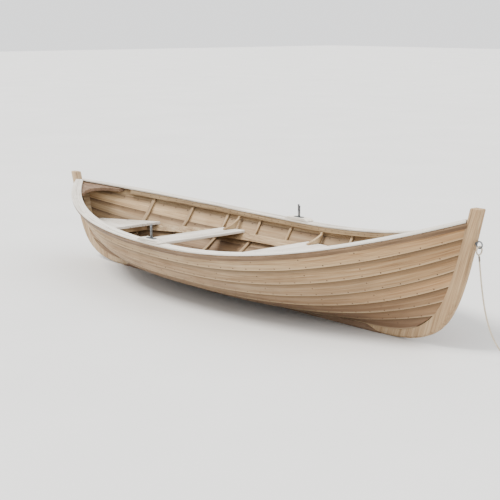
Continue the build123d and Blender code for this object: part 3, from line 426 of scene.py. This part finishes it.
def wood(name, dark, middle, pale, grain="X", source="Object", rough=(0.55, 0.8), wear=0.4,
         tilt=0.0, stain=None, lap_dirt_wear_and_painted_light=False, board_tones=(0.82, 1.15), bow_tint=None):
    """Weathered wood: fine fibres, broader figure, changes of tone, worn patches, pores and cracks.

    dark, middle and pale are its three tones. lap_dirt_wear_and_painted_light makes a plank darker towards
    the next one's edge, painted shade under that lap and dirt, and paler at its own lower edge, wear and a
    painted highlight. wear is the share of pale patches, and board_tones the range of the slow changes from
    board to board.
    tilt, in degrees, leans the grain aft to forward. stain darkens the wood towards the keel, and bow_tint
    multiplies its colour towards the bow, making it darker and warmer there.
    """
    nodes = Nodes(name)
    nodes.tilt = tilt
    stretch = GRAIN[grain]
    fibres = nodes.noise(nodes.coords(source, [6 * s if s > 2 else 5 * s for s in stretch]), 1.0, 3.0, 0.2)
    lines = nodes.noise(nodes.coords(source, [1.6 * s for s in stretch]), 1.0, 4.0, 0.5)
    figure = nodes.noise(nodes.coords(source, [0.35 * s for s in stretch]), 1.0, 2.0, 1.4)
    even = nodes.coords(source, (1.0, 1.0, 1.0))
    patches = nodes.noise(even, 4.0, 5.0, 0.6)
    boards = nodes.noise(nodes.coords(source, (0.35, 1.3, 1.3)), 1.0, 1.0)
    tone = nodes.maths("MULTIPLY", fibres, 0.4)
    for layer, share in ((lines, 0.35), (figure, 0.25)):
        tone = nodes.maths("ADD", tone, nodes.maths("MULTIPLY", layer, share))
    colour = nodes.ramp(tone, [(0.37, dark), (0.5, middle), (0.62, pale)])
    colour = nodes.mix(1.0, colour, nodes.span(boards, *NOISE_SPAN, *board_tones), "MULTIPLY")
    colour = nodes.mix(nodes.span(patches, 0.45, 0.75, 0.0, wear), colour, pale)
    if bow_tint or stain:
        place_in_boat = nodes.add("ShaderNodeSeparateXYZ")
        nodes.join(nodes.coords("Object", (1.0, 1.0, 1.0)), place_in_boat.inputs[0])
    if bow_tint:
        ragged = nodes.maths("ADD", place_in_boat.outputs[0], nodes.span(patches, *NOISE_SPAN, -0.15, 0.15))
        colour = nodes.mix(nodes.span(ragged, *BOW_TINT_SPAN, 0.0, 1.0), colour, bow_tint, "MULTIPLY")
    if stain:
        wavy = nodes.maths("ADD", place_in_boat.outputs[2], nodes.span(patches, *NOISE_SPAN, -0.04, 0.04))
        colour = nodes.mix(nodes.span(wavy, *STAIN_SPAN, 0.85, 0.0), colour, stain)
    if lap_dirt_wear_and_painted_light:
        across = nodes.add("ShaderNodeSeparateXYZ")
        seam_map = nodes.add("ShaderNodeUVMap", uv_map=SEAM_MAP)
        nodes.join(seam_map.outputs["UV"], across.inputs[0])
        ragged = nodes.maths("ADD", across.outputs[0], nodes.span(lines, *NOISE_SPAN, -0.07, 0.07))
        # Paler towards the plank's lower edge: a worn edge, and a painted highlight along the lap.
        colour = nodes.mix(nodes.span(ragged, 0.0, 0.16, 0.55, 0.0), colour, pale)
        # Darker towards the next plank's edge: painted shade under its overhanging lap, and dirt in the seam.
        colour = nodes.mix(nodes.span(ragged, 0.58, 1.0, 0.0, 0.85), colour, [LAP_SHADE_AND_DIRT * c for c in dark])
    cracks = nodes.noise(nodes.coords(source, [9 * s if s > 2 else 3 * s for s in stretch]), 1.0, 1.0, 0.3)
    cracks = nodes.span(cracks, *CRACK_SPAN, 0.0, 0.65)
    colour = nodes.mix(cracks, colour, [CRACK_DIRT * c for c in dark])
    nodes.join(colour, nodes.shader.inputs["Base Color"])
    nodes.join(nodes.span(tone, 0.35, 0.65, rough[1], rough[0]), nodes.shader.inputs["Roughness"])
    nodes.shader.inputs["Specular IOR Level"].default_value = 0.3
    nodes.bump(nodes.maths("SUBTRACT", tone, cracks), 0.0012, 0.6)
    return nodes.material


def metal(name, dark, pale, rough, metallic):
    """Dull metal with crystals, blotches and fine pitting."""
    nodes = Nodes(name)
    even = nodes.coords("Object", (1.0, 1.0, 1.0))
    cells = nodes.add("ShaderNodeTexVoronoi")
    cells.inputs["Scale"].default_value = 160.0
    nodes.join(even, cells.inputs["Vector"])
    blotches = nodes.noise(even, 60.0, 5.0, 0.5)
    tone = nodes.mix(0.35, blotches, cells.outputs["Color"])
    colour = nodes.ramp(tone, [(0.3, dark), (0.7, pale)])
    nodes.join(colour, nodes.shader.inputs["Base Color"])
    nodes.shader.inputs["Metallic"].default_value = metallic
    nodes.join(nodes.span(blotches, *NOISE_SPAN, *rough), nodes.shader.inputs["Roughness"])
    nodes.bump(nodes.noise(even, 700.0, 3.0), 0.0002, 0.6)
    return nodes.material


def fibre(name, dark, pale):
    """Rope yarn: fine threads along each strand, with dirt in patches."""
    nodes = Nodes(name)
    threads = nodes.noise(nodes.coords("UV", (60.0, 2400.0, 1.0)), 1.0, 4.0, 0.6)
    dirt = nodes.noise(nodes.coords("Object", (1.0, 1.0, 1.0)), 14.0, 3.0)
    colour = nodes.ramp(threads, [(0.35, dark), (0.65, pale)])
    colour = nodes.mix(nodes.span(dirt, 0.45, 0.75, 0.0, 0.5), colour, dark)
    nodes.join(colour, nodes.shader.inputs["Base Color"])
    nodes.join(nodes.span(threads, *NOISE_SPAN, 0.95, 0.8), nodes.shader.inputs["Roughness"])
    nodes.shader.inputs["Sheen Weight"].default_value = 0.25
    nodes.bump(threads, 0.0006, 0.8)
    return nodes.material


def make_materials():
    """Every material used, by name. Each wood has a dark, a middle and a pale tone."""
    tan = [(0.235, 0.135, 0.064), (0.42, 0.285, 0.152), (0.56, 0.42, 0.255)]
    # The grey and seat tones are pale: bleached wood, and painted sky light on the tops of the caps and
    # thwarts; the pads and bench share these tones.
    grey_bleached_and_sky_lit = [(0.36, 0.315, 0.255), (0.66, 0.61, 0.535), (0.80, 0.762, 0.69)]
    seat_bleached_and_sky_lit = [(0.38, 0.325, 0.26), (0.66, 0.605, 0.53), (0.80, 0.755, 0.69)]
    brown = [(0.075, 0.040, 0.020), (0.155, 0.092, 0.047), (0.27, 0.172, 0.095)]
    olive = [(0.095, 0.06, 0.028), (0.20, 0.132, 0.066), (0.33, 0.235, 0.13)]
    frames = [(0.145, 0.087, 0.043), (0.31, 0.21, 0.115), (0.46, 0.35, 0.212)]
    # The breasthooks' tones are the brown of their wood, darkened further as painted shade in the ends of the
    # hull.
    hooks_with_painted_shade = [(0.09, 0.052, 0.03), (0.18, 0.11, 0.066), (0.29, 0.20, 0.13)]
    post = [(0.22, 0.14, 0.075), (0.37, 0.257, 0.15), (0.50, 0.385, 0.245)]
    weathered = {"rough": (0.65, 0.9), "wear": 0.55}
    wet = (0.135, 0.078, 0.046)
    return {
        "planking": wood("planking_wood", *tan, source="UV", wear=0.3, stain=wet, lap_dirt_wear_and_painted_light=True,
                         board_tones=(0.68, 1.22), bow_tint=(0.80, 0.67, 0.55)),
        "caps": wood("bleached_cap_wood", *grey_bleached_and_sky_lit, source="UV", **weathered),
        "rub_rails": wood("rub_rail_wood", *brown, source="UV", rough=(0.45, 0.7)),
        "inwales": wood("inwale_wood", *olive, source="UV", rough=(0.45, 0.7)),
        "pads": wood("pad_wood", *grey_bleached_and_sky_lit, **weathered),
        "thwarts": wood("thwart_wood", *seat_bleached_and_sky_lit, grain="Y", **weathered),
        "bench": wood("bench_wood", *seat_bleached_and_sky_lit, **weathered),
        "frames": wood("frame_wood", *frames, grain="YZ"),
        "boards": wood("board_wood", *frames, wear=0.5),
        "hooks_with_painted_shade": wood("breasthook_wood", *hooks_with_painted_shade, wear=0.15),
        "stem": wood("stem_wood", *post, grain="Z", tilt=17.0, bow_tint=(0.86, 0.79, 0.70)),
        "sternpost": wood("sternpost_wood", *post, grain="Z", tilt=-17.0),
        "keel": wood("keel_wood", *post, stain=wet),
        "zinc": metal("galvanised", (0.075, 0.078, 0.082), (0.24, 0.25, 0.26), (0.42, 0.68), 0.85),
        "copper": metal("old_copper", (0.05, 0.04, 0.03), (0.22, 0.125, 0.075), (0.5, 0.75), 0.6),
        "rope": fibre("rope_yarn", (0.30, 0.24, 0.165), (0.60, 0.52, 0.40)),
        "twine": fibre("tarred_twine", (0.07, 0.05, 0.035), (0.20, 0.15, 0.10)),
    }


# ---------------------------------------------------------------- mesh helpers
def new_mesh(name, verts, faces, material, uvs=None, seam_uvs=None):
    """A smooth-shaded mesh object; each list of UVs gives a pair for each corner of each face."""
    mesh = bpy.data.meshes.new(name)
    mesh.from_pydata([tuple(v) for v in verts], [], faces)
    for layer_name, pairs in (("UVMap", uvs), (SEAM_MAP, seam_uvs)):
        if pairs:
            layer = mesh.uv_layers.new(name=layer_name)
            layer.data.foreach_set("uv", [number for pair in pairs for number in pair])
    mesh.materials.append(material)
    mesh.shade_smooth()
    piece = bpy.data.objects.new(name, mesh)
    bpy.context.scene.collection.objects.link(piece)
    return piece


def soften_edges(piece, width):
    """Rounds the piece's sharp edges and keeps its flats flat."""
    bevel = piece.modifiers.new("worn_edges", "BEVEL")
    bevel.width = width
    bevel.segments = 2
    bevel.limit_method = "ANGLE"
    bevel.angle_limit = radians(28)
    bevel.use_clamp_overlap = True
    piece.modifiers.new("flat_faces", "WEIGHTED_NORMAL").keep_sharp = False
    return piece


def lofted(name, rings, side, material, offset, bevel, across=None):
    """A long timber through closed rings of points, mirrored to starboard for side -1.

    Its UVs are metres along and around it. across gives each point of a ring its place in the seam map.
    """
    count, size = len(rings), len(rings[0])
    verts = [Vector((p.x, side * p.y, p.z)) for ring in rings for p in ring]
    length = [0.0]
    for before, after in zip(rings, rings[1:]):
        length.append(length[-1] + (after[0] - before[0]).length)
    round_ring = [0.0]
    middle = rings[count // 2]
    for k in range(size):
        round_ring.append(round_ring[-1] + (middle[(k + 1) % size] - middle[k]).length)
    faces, uvs, seam_uvs = [], [], []
    for i in range(count - 1):
        for k in range(size):
            after = (k + 1) % size
            quad = [i * size + k, i * size + after, (i + 1) * size + after, (i + 1) * size + k]
            flat = [(length[i], k), (length[i], k + 1), (length[i + 1], k + 1), (length[i + 1], k)]
            pairs = [(u, offset + round_ring[m]) for u, m in flat]
            seam = [(across[m % size], 0.0) for _, m in flat] if across else []
            if side > 0:
                quad.reverse()
                pairs.reverse()
                seam.reverse()
            faces.append(quad)
            uvs += pairs
            seam_uvs += seam
    for i in (0, count - 1):
        cap = [i * size + k for k in range(size)]
        if (i == 0) != (side > 0):
            cap.reverse()
        faces.append(cap)
        uvs += [(length[i] + round_ring[k], offset) for k in range(size)]
        seam_uvs += [(0.5, 0.0)] * size if across else []
    return soften_edges(new_mesh(name, verts, faces, material, uvs, seam_uvs), bevel)


def worn_copy(node, material, slot, bevel):
    """A CAD node rebuilt with its flats joined up and its edges worn round."""
    source = frame["nodes"][node].data
    bm = bmesh.new()
    bm.from_mesh(source)
    bmesh.ops.remove_doubles(bm, verts=bm.verts, dist=1e-5)
    bmesh.ops.dissolve_limit(bm, angle_limit=radians(1.5), verts=bm.verts, edges=bm.edges)
    verts = [v.co.copy() for v in bm.verts]
    faces = [[v.index for v in face.verts] for face in bm.faces]
    bm.free()
    piece = soften_edges(new_mesh(node + "_worn", verts, faces, material), bevel)
    place(piece, body_of(node), slot, node)


def body_of(node):
    """The body that a CAD node rides on."""
    return frame["nodes"][node].parent.name.removeprefix("body:")


def place(piece, body, slot, *nodes):
    """Rides a piece on a body and hides the CAD nodes that it stands for; its slot is not used."""
    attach(piece, body)
    if nodes:
        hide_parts(*nodes)


def spread(count, reach):
    """That many numbers, evenly from -reach to reach."""
    return [reach * (2 * k / (count - 1) - 1) for k in range(count)]


SIDES = {"port": 1, "starboard": -1}
UP = Vector((0, 0, 1))


# ---------------------------------------------------------------- planking and rails
STRAKE_NAMES = ["garboard"] + [f"strake_{n}" for n in range(2, STRAKES)] + ["sheer_strake"]
HOOD_REACH = 1.003  # the strakes run this share of the half length, into the rabbets
CAP_REACH = 0.998  # the caps end just short of the posts
PLANK_WEAR = 0.0018  # radius of the planks' edges
SEAM_PLACES = (0.0, 0.5, 1.0, 1.0, 1.0, 0.1, 0.0)  # of strake_points' corners, across the plank
SHEER_SEAM_PLACES = (0.0, 0.5, 1.0, 1.0, 0.1, 0.0)  # the sheer strake has no lap above it
STRAKE_SHIFT = 3.7  # metres between two strakes' stretches of the wood's pattern
STARBOARD_SHIFT = 60.0
RAIL_SHIFT = 130.0


def make_planking(materials):
    """Seven lapped strakes a side."""
    for j, name in enumerate(STRAKE_NAMES):
        rings = [strake_points(j, t) for t in spread(97, HOOD_REACH)]
        across = SHEER_SEAM_PLACES if j == STRAKES - 1 else SEAM_PLACES
        for side_name, side in SIDES.items():
            offset = STRAKE_SHIFT * j + (STARBOARD_SHIFT if side < 0 else 0.0)
            node = f"{name}_{side_name}"
            plank = lofted(node + "_plank", rings, side, materials["planking"], offset, PLANK_WEAR, across)
            place(plank, "hull", "planking", node)


def make_rails(materials):
    """Rub rail, inwale and gunwale cap on each side; a row's last number is the wear of its edges."""
    inwale_reach = 1 - (BREASTHOOK_REACH + POST_DEPTH) / HALF
    kinds = [
        ("rub_rail", rub_rail_profile, 1.0, "rub_rails", "rail_wood", 0.003),
        ("inwale", inwale_profile, inwale_reach, "inwales", "rail_wood", 0.0025),
        ("gunwale_cap", cap_profile, CAP_REACH, "caps", "bleached_wood", 0.004),
    ]
    for number, (name, profile, reach, material, slot, bevel) in enumerate(kinds):
        rings = [profile_points(profile, t) for t in spread(121, reach)]
        for side_name, side in SIDES.items():
            node = f"{name}_{side_name}"
            offset = RAIL_SHIFT + 9.0 * number + 4.0 * side
            rail = lofted(node + "_rail", rings, side, materials[material], offset, bevel)
            place(rail, "hull", slot, node)


def dome(verts, faces, centre, normal, radius, height, sides=8):
    """Adds a shallow dome on a surface to a mesh's lists."""
    first = len(verts)
    across = normal.orthogonal().normalized()
    other = normal.cross(across)
    for share, rise in ((1.0, 0.0), (0.8, 0.65)):
        for k in range(sides):
            turn = 2 * pi * k / sides
            spoke = across * cos(turn) + other * sin(turn)
            verts.append(centre + spoke * radius * share + normal * height * rise)
    verts.append(centre + normal * height)
    for k in range(sides):
        after = (k + 1) % sides
        faces.append([first + k, first + after, first + sides + after, first + sides + k])
        faces.append([first + sides + k, first + sides + after, first + 2 * sides])


RIVET = (0.0045, 0.0012)  # radius and height of each kind of head
ROVE = (0.005, 0.0018)
RAIL_NAIL = (0.0038, 0.0009)
CAP_NAIL = (0.0036, 0.0005)
INWALE_RIVET = (0.0048, 0.0014)
PLATE_SCREW = (0.0042, 0.0010)
THWART_NAIL = (0.0036, 0.0008)


def lap_fastenings():
    """Round rivet heads along the outside of each lap, and a rove for each inside."""
    for j in range(1, STRAKES):
        for t in spread(38, 0.95):
            corner, up, normal, _, _, step = strake_frame(j, t)
            point = corner + up * LAP * 0.5
            yield point, normal, *RIVET
            yield point - normal * (PLANK + step + GAP), normal * -1, *ROVE


def rib_fastenings():
    """A rivet head outside at the middle of each plank where a rib crosses it."""
    for j in range(STRAKES):
        for x in spread(RIB_COUNT, RIB_SPAN / 2):
            aft, ahead = knuckle_ends(j)[1]
            corner, up, normal, _, face, _ = strake_frame(j, 2 * (x - aft) / (ahead - aft) - 1)
            yield corner + up * face * 0.55, normal, *RIVET


def rail_fastenings():
    """Nails in the rub rail's side, the cap's top and the inwale's inner face."""
    for t in spread(41, 0.95):
        origin, out, _, thick = sheer_frame(t)
        wide = RAIL_WIDTH * rail_taper(t)
        yield origin + out * wide - UP * (0.15 * RAIL_HEIGHT), out, *RAIL_NAIL
        yield origin - out * thick * 0.5 + UP * (CLEARANCE + CAP_THICK), UP, *CAP_NAIL
    for t in spread(45, 0.78):
        origin, out, flare, _ = sheer_frame(t)
        reach = inwale_start(t) - INWALE_WIDTH - 0.5 * flare * INWALE_HEIGHT
        yield origin + out * reach - UP * (INWALE_HEIGHT / 2), out * -1, *INWALE_RIVET


def make_rivets(materials):
    """Copper rivets and nails in the planking and the rails."""
    fastenings = [*lap_fastenings(), *rib_fastenings(), *rail_fastenings()]
    for side_name, side in SIDES.items():
        verts, faces = [], []
        mirror = Vector((1, side, 1))
        for point, facing, radius, height in fastenings:
            dome(verts, faces, point * mirror, facing * mirror, radius, height)
        rivets = new_mesh(f"lap_rivets_{side_name}", verts, faces, materials["copper"])
        place(rivets, "hull", "planking")


# ---------------------------------------------------------------- the other timbers
def make_timbers(materials):
    """The CAD's other timbers; a row's last number is the wear of its edges."""
    groups = [
        (["aft_thwart", "centre_thwart", "bow_thwart"], "thwarts", "seat_wood", 0.004),
        (["stern_bench"], "bench", "seat_wood", 0.0035),
        (["rowlock_pads"], "pads", "bleached_wood", 0.003),
        (["thwart_knees"], "frames", "frame_wood", 0.003),
        (["bow_breasthook", "stern_breasthook"], "hooks_with_painted_shade", "frame_wood", 0.003),
        (["bench_bearers", "floor_timbers"], "frames", "frame_wood", 0.002),
        (["riser_port", "riser_starboard", "hog"], "boards", "frame_wood", 0.002),
        ([f"bottom_board_{s}" for s in ("port", "centre", "starboard")], "boards", "frame_wood", 0.003),
        ([f"rib_{n + 1}" for n in range(RIB_COUNT)], "frames", "frame_wood", 0.002),
        (["stem_apron", "stern_apron"], "frames", "frame_wood", 0.002),
        (["stem"], "stem", "backbone_wood", 0.003),
        (["sternpost"], "sternpost", "backbone_wood", 0.003),
        (["keel"], "keel", "backbone_wood", 0.003),
        (["drain_bung"], "stem", "frame_wood", 0.001),
    ]
    for nodes, material, slot, bevel in groups:
        for node in nodes:
            worn_copy(node, materials[material], slot, bevel)


def make_metalwork(materials):
    """The CAD's fittings, galvanised."""
    for node in ("rowlock_port", "rowlock_starboard", "rowlock_sockets", "mooring_eye", "mooring_eye_nut"):
        for mesh_slot in frame["nodes"][node].material_slots:
            mesh_slot.material = materials["zinc"]


PLATE_HALF_WIDTH = 0.017
SCREW_REACH = 0.033  # from the middle of the plate
NAIL_INSET = 0.055  # from a thwart's end


def make_screws(materials):
    """Two screw heads in each rowlock plate and a row of nails through each thwart's ends."""
    low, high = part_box("rowlock_sockets")
    x = (low.x + high.x) / 2
    for side_name, side in SIDES.items():
        verts, faces = [], []
        y = side * (high.y - PLATE_HALF_WIDTH)
        for dx in (-SCREW_REACH, SCREW_REACH):
            dome(verts, faces, Vector((x + dx, y, high.z)), UP, *PLATE_SCREW, 12)
        for node in ("aft_thwart", "centre_thwart", "bow_thwart"):
            first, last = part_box(node)
            for share in (0.2, 0.5, 0.8):
                spot = first.x + (last.x - first.x) * share
                reach = last.y - NAIL_INSET - 0.02 * abs(share - 0.5)
                dome(verts, faces, Vector((spot, side * reach, last.z)), UP, *THWART_NAIL, 10)
        screws = new_mesh(f"fastenings_{side_name}", verts, faces, materials["zinc"])
        place(screws, "hull", "galvanised")


# ---------------------------------------------------------------- painter
COIL_RADII = [0.067, 0.057, 0.047, 0.047, 0.057, 0.067]  # turn by turn: inward below, outward above
COIL_ENTRY = 0.0774  # radius at which the rope comes in to the first turn
COIL_PULL = 0.966  # the spline's turns are this share of its control points' radii
GROUND_TURNS = 3
LOWER, UPPER = ROPE / 2, 1.5 * ROPE  # heights of the rope's centre in the two layers
ROPE_STEP = 0.004  # between two rings of the rope's mesh
ROPE_LAY = 0.034  # length of one turn of its strands
THREAD = 0.0009  # radius of the whippings' twine


def coil_points():
    """Control points of the coil: three turns inward on the ground, then three outward on top of them."""
    points = []
    per_turn = 12
    for turn, radius in enumerate(COIL_RADII):
        before = COIL_ENTRY if turn == 0 else COIL_RADII[turn - 1]
        old_z = LOWER if turn <= GROUND_TURNS else UPPER
        new_z = LOWER if turn < GROUND_TURNS else UPPER
        for k in range(per_turn):
            share = min(1.0, (k + 1) / 2)
            r = (before + (radius - before) * share) / COIL_PULL
            z = old_z + (new_z - old_z) * share
            angle = 2 * pi * (k + 0.4) / per_turn
            points.append((COIL_CENTRE[0] + r * cos(angle), COIL_CENTRE[1] + r * sin(angle), z))
    return points


def centreline(points):
    """Points read from a smooth spline that has these control points."""
    curve = bpy.data.curves.new("painter_route", "CURVE")
    curve.dimensions = "3D"
    curve.resolution_u = 8
    spline = curve.splines.new("NURBS")
    spline.points.add(len(points) - 1)
    for point, place_at in zip(spline.points, points):
        point.co = (*place_at, 1.0)
    spline.order_u = 3
    spline.use_endpoint_u = True
    holder = bpy.data.objects.new("painter_route", curve)
    bpy.context.scene.collection.objects.link(holder)
    bpy.context.view_layer.update()
    mesh = bpy.data.meshes.new_from_object(holder.evaluated_get(bpy.context.evaluated_depsgraph_get()))
    line = [v.co.copy() for v in mesh.vertices]
    bpy.data.objects.remove(holder)
    return line


def evenly(line, pitch):
    """The same line in equal steps of about that length, and its whole length."""
    runs = [(b - a).length for a, b in zip(line, line[1:])]
    total = sum(runs)
    count = round(total / pitch)
    result, index, passed = [line[0]], 0, 0.0
    for k in range(1, count):
        target = total * k / count
        while passed + runs[index] < target:
            passed += runs[index]
            index += 1
        result.append(line[index].lerp(line[index + 1], (target - passed) / runs[index]))
    return result + [line[-1]], total


def transported(line, closed=False):
    """A pair of directions square to the line at each point, turning as little as possible."""
    count = len(line)
    frames = []
    side = None
    for k in range(count):
        before = line[k - 1] if k or closed else line[0]
        after = line[(k + 1) % count] if k < count - 1 or closed else line[-1]
        along = (after - before).normalized()
        if side is None:
            side = along.orthogonal().normalized()
        side = (side - along * side.dot(along)).normalized()
        frames.append((side, along.cross(side)))
    return frames


def add_tube(verts, faces, uvs, line, frames, radius, sides, closed=False):
    """Adds a round tube along a line to a mesh's lists, with UVs in steps of du along it and dv round it."""
    du, dv = 0.004, 0.002
    first, count = len(verts), len(line)
    for point, (a, b) in zip(line, frames):
        for k in range(sides):
            turn = 2 * pi * k / sides
            verts.append(point + (a * cos(turn) + b * sin(turn)) * radius)
    last = count if closed else count - 1
    for i in range(last):
        j = (i + 1) % count
        for k in range(sides):
            m = (k + 1) % sides
            near, far = first + i * sides, first + j * sides
            faces.append([near + k, near + m, far + m, far + k])
            uvs += [(i * du, k * dv), (i * du, k * dv + dv)]
            uvs += [(i * du + du, k * dv + dv), (i * du + du, k * dv)]
    if not closed:
        for i, turned in ((0, True), (count - 1, False)):
            end = [first + i * sides + k for k in range(sides)]
            faces.append(end[::-1] if turned else end)
            uvs += [(0.0, 0.0)] * sides


def laid_rope(name, line, material, pitch, closed=False):
    """Three strands wound round a line, one turn in each pitch."""
    strands = 3
    strand = ROPE / 4
    offset = ROPE / 2 - strand
    frames = transported(line, closed)
    verts, faces, uvs = [], [], []
    step = (line[1] - line[0]).length
    for n in range(strands):
        path = []
        for k, (point, (a, b)) in enumerate(zip(line, frames)):
            turn = 2 * pi * (k * step / pitch + n / strands)
            path.append(point + (a * cos(turn) + b * sin(turn)) * offset)
        add_tube(verts, faces, uvs, path, transported(path, closed), strand, 8, closed)
    return new_mesh(name, verts, faces, material, uvs)


def ring_line(centre, radius, count):
    """Points round a circle that stands across the boat."""
    turns = [2 * pi * k / count for k in range(count)]
    return [centre + Vector((0, radius * cos(turn), radius * sin(turn))) for turn in turns]


def wrapped(name, line, radius, turns, thread, material):
    """A whipping: thread wound closely round a short stretch of rope."""
    frames = transported(line)
    per_turn = 14
    path = []
    steps = turns * per_turn
    for k in range(steps + 1):
        share = k / steps * (len(line) - 1)
        i = min(int(share), len(line) - 2)
        point = line[i].lerp(line[i + 1], share - i)
        a, b = frames[i]
        turn = 2 * pi * k / per_turn
        path.append(point + (a * cos(turn) + b * sin(turn)) * (radius + thread * 0.6))
    verts, faces, uvs = [], [], []
    add_tube(verts, faces, uvs, path, transported(path), thread, 6)
    return new_mesh(name, verts, faces, material, uvs)


def make_painter(materials):
    """The rope from its spliced eye to the end of its coil, with its whippings and the coil's tie."""
    line, total = evenly(centreline(PAINTER_ROUTE + coil_points()), ROPE_STEP)
    painter = laid_rope("painter_rope", line, materials["rope"], ROPE_LAY)
    place(painter, "hull", "rope", "painter", "painter_coil")

    low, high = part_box("painter_splice")
    centre = (low + high) / 2
    steps, lays = 40, 4
    loop = ring_line(centre, (high.z - low.z) / 2 - ROPE / 2, steps)
    step = (loop[1] - loop[0]).length
    eye = laid_rope("painter_eye", loop, materials["rope"], step * steps / lays, closed=True)
    place(eye, "hull", "rope", "painter_splice")

    throat = wrapped("painter_throat", line[1:9], ROPE / 2, 9, THREAD, materials["twine"])
    whipping = wrapped("painter_whipping", line[-6:], ROPE / 2, 6, THREAD, materials["twine"])
    tie = make_tie(materials)
    for piece in (throat, whipping, tie):
        place(piece, "hull", "rope")


def make_tie(materials):
    """Three turns of twine round the coil's bundle, each a rounded rectangle."""
    verts, faces, uvs = [], [], []
    angle = radians(150)
    out = Vector((cos(angle), sin(angle), 0))
    along = Vector((-out.y, out.x, 0))
    middle = Vector((*COIL_CENTRE, 0.0101)) + out * COIL_RADII[1]
    half_width, half_height, squareness = 0.0152, 0.0088, 0.6
    steps, thread = 32, 0.0011
    for shift in (-2 * thread, 0.0, 2 * thread):
        path = []
        for k in range(steps):
            turn = 2 * pi * k / steps
            a = abs(cos(turn)) ** squareness * (1 if cos(turn) > 0 else -1) * half_width
            b = abs(sin(turn)) ** squareness * (1 if sin(turn) > 0 else -1) * half_height
            path.append(middle + out * a + along * shift + UP * b)
        add_tube(verts, faces, uvs, path, transported(path, True), thread, 6, closed=True)
    return new_mesh("painter_tie", verts, faces, materials["twine"], uvs)


# ---------------------------------------------------------------- camera, light and floor
AZIMUTH = radians(49.9)  # of the camera, from the starboard beam towards the bow
CAMERA_REACH = 8.29  # level, from the origin
CAMERA_HEIGHT = 1.92
AIM = Vector((0.12, 0.0, 0.34))
LENS = 86.0


def make_camera():
    """The camera, low off the starboard bow."""
    data = bpy.data.cameras.new("camera")
    data.lens = LENS
    data.sensor_width = 36.0
    camera = bpy.data.objects.new("camera", data)
    place_at = Vector((CAMERA_REACH * sin(AZIMUTH), -CAMERA_REACH * cos(AZIMUTH), CAMERA_HEIGHT))
    camera.location = place_at
    camera.rotation_euler = (AIM - place_at).to_track_quat("-Z", "Y").to_euler()
    bpy.context.scene.collection.objects.link(camera)
    bpy.context.scene.camera = camera


def add_sun(name, come_from, strength, softness, colour):
    """A sun that shines from there to the origin; softness is its width in degrees."""
    data = bpy.data.lights.new(name, "SUN")
    data.energy = strength
    data.angle = radians(softness)
    data.color = colour
    light = bpy.data.objects.new(name, data)
    light.rotation_euler = (Vector((0, 0, 0)) - Vector(come_from)).to_track_quat("-Z", "Y").to_euler()
    bpy.context.scene.collection.objects.link(light)


WORLD_COLOUR = (0.96, 0.965, 0.97, 1.0)
WORLD_STRENGTH = 1.68
FLOOR_SIZE = 60.0
FLOOR_DROP = 0.0006  # below the keel, so that the two don't flicker


def make_stage():
    """Two soft suns, an even sky and a pale floor."""
    add_sun("key", (-0.45, -0.7, 1.3), 4.5, 22.0, (1.0, 0.97, 0.92))
    add_sun("fill", (1.0, 0.3, 0.8), 1.2, 60.0, (0.98, 0.985, 1.0))
    world = bpy.data.worlds.new("studio")
    world.use_nodes = True
    world.node_tree.nodes["Background"].inputs["Color"].default_value = WORLD_COLOUR
    world.node_tree.nodes["Background"].inputs["Strength"].default_value = WORLD_STRENGTH
    bpy.context.scene.world = world

    nodes = Nodes("pale_floor")
    patches = nodes.noise(nodes.coords("Object", (1.0, 1.0, 1.0)), 0.8, 3.0)
    colour = nodes.ramp(patches, [(0.3, (0.70, 0.70, 0.69)), (0.7, (0.74, 0.74, 0.73))])
    nodes.join(colour, nodes.shader.inputs["Base Color"])
    nodes.shader.inputs["Roughness"].default_value = 0.75
    corners = [(x * FLOOR_SIZE, y * FLOOR_SIZE, -FLOOR_DROP) for x, y in ((-1, -1), (1, -1), (1, 1), (-1, 1))]
    floor = new_mesh("floor", corners, [[0, 1, 2, 3]], nodes.material)


make_camera()
make_stage()
materials = make_materials()
make_painter(materials)
make_planking(materials)
make_rails(materials)
make_timbers(materials)
make_metalwork(materials)
make_rivets(materials)
make_screws(materials)
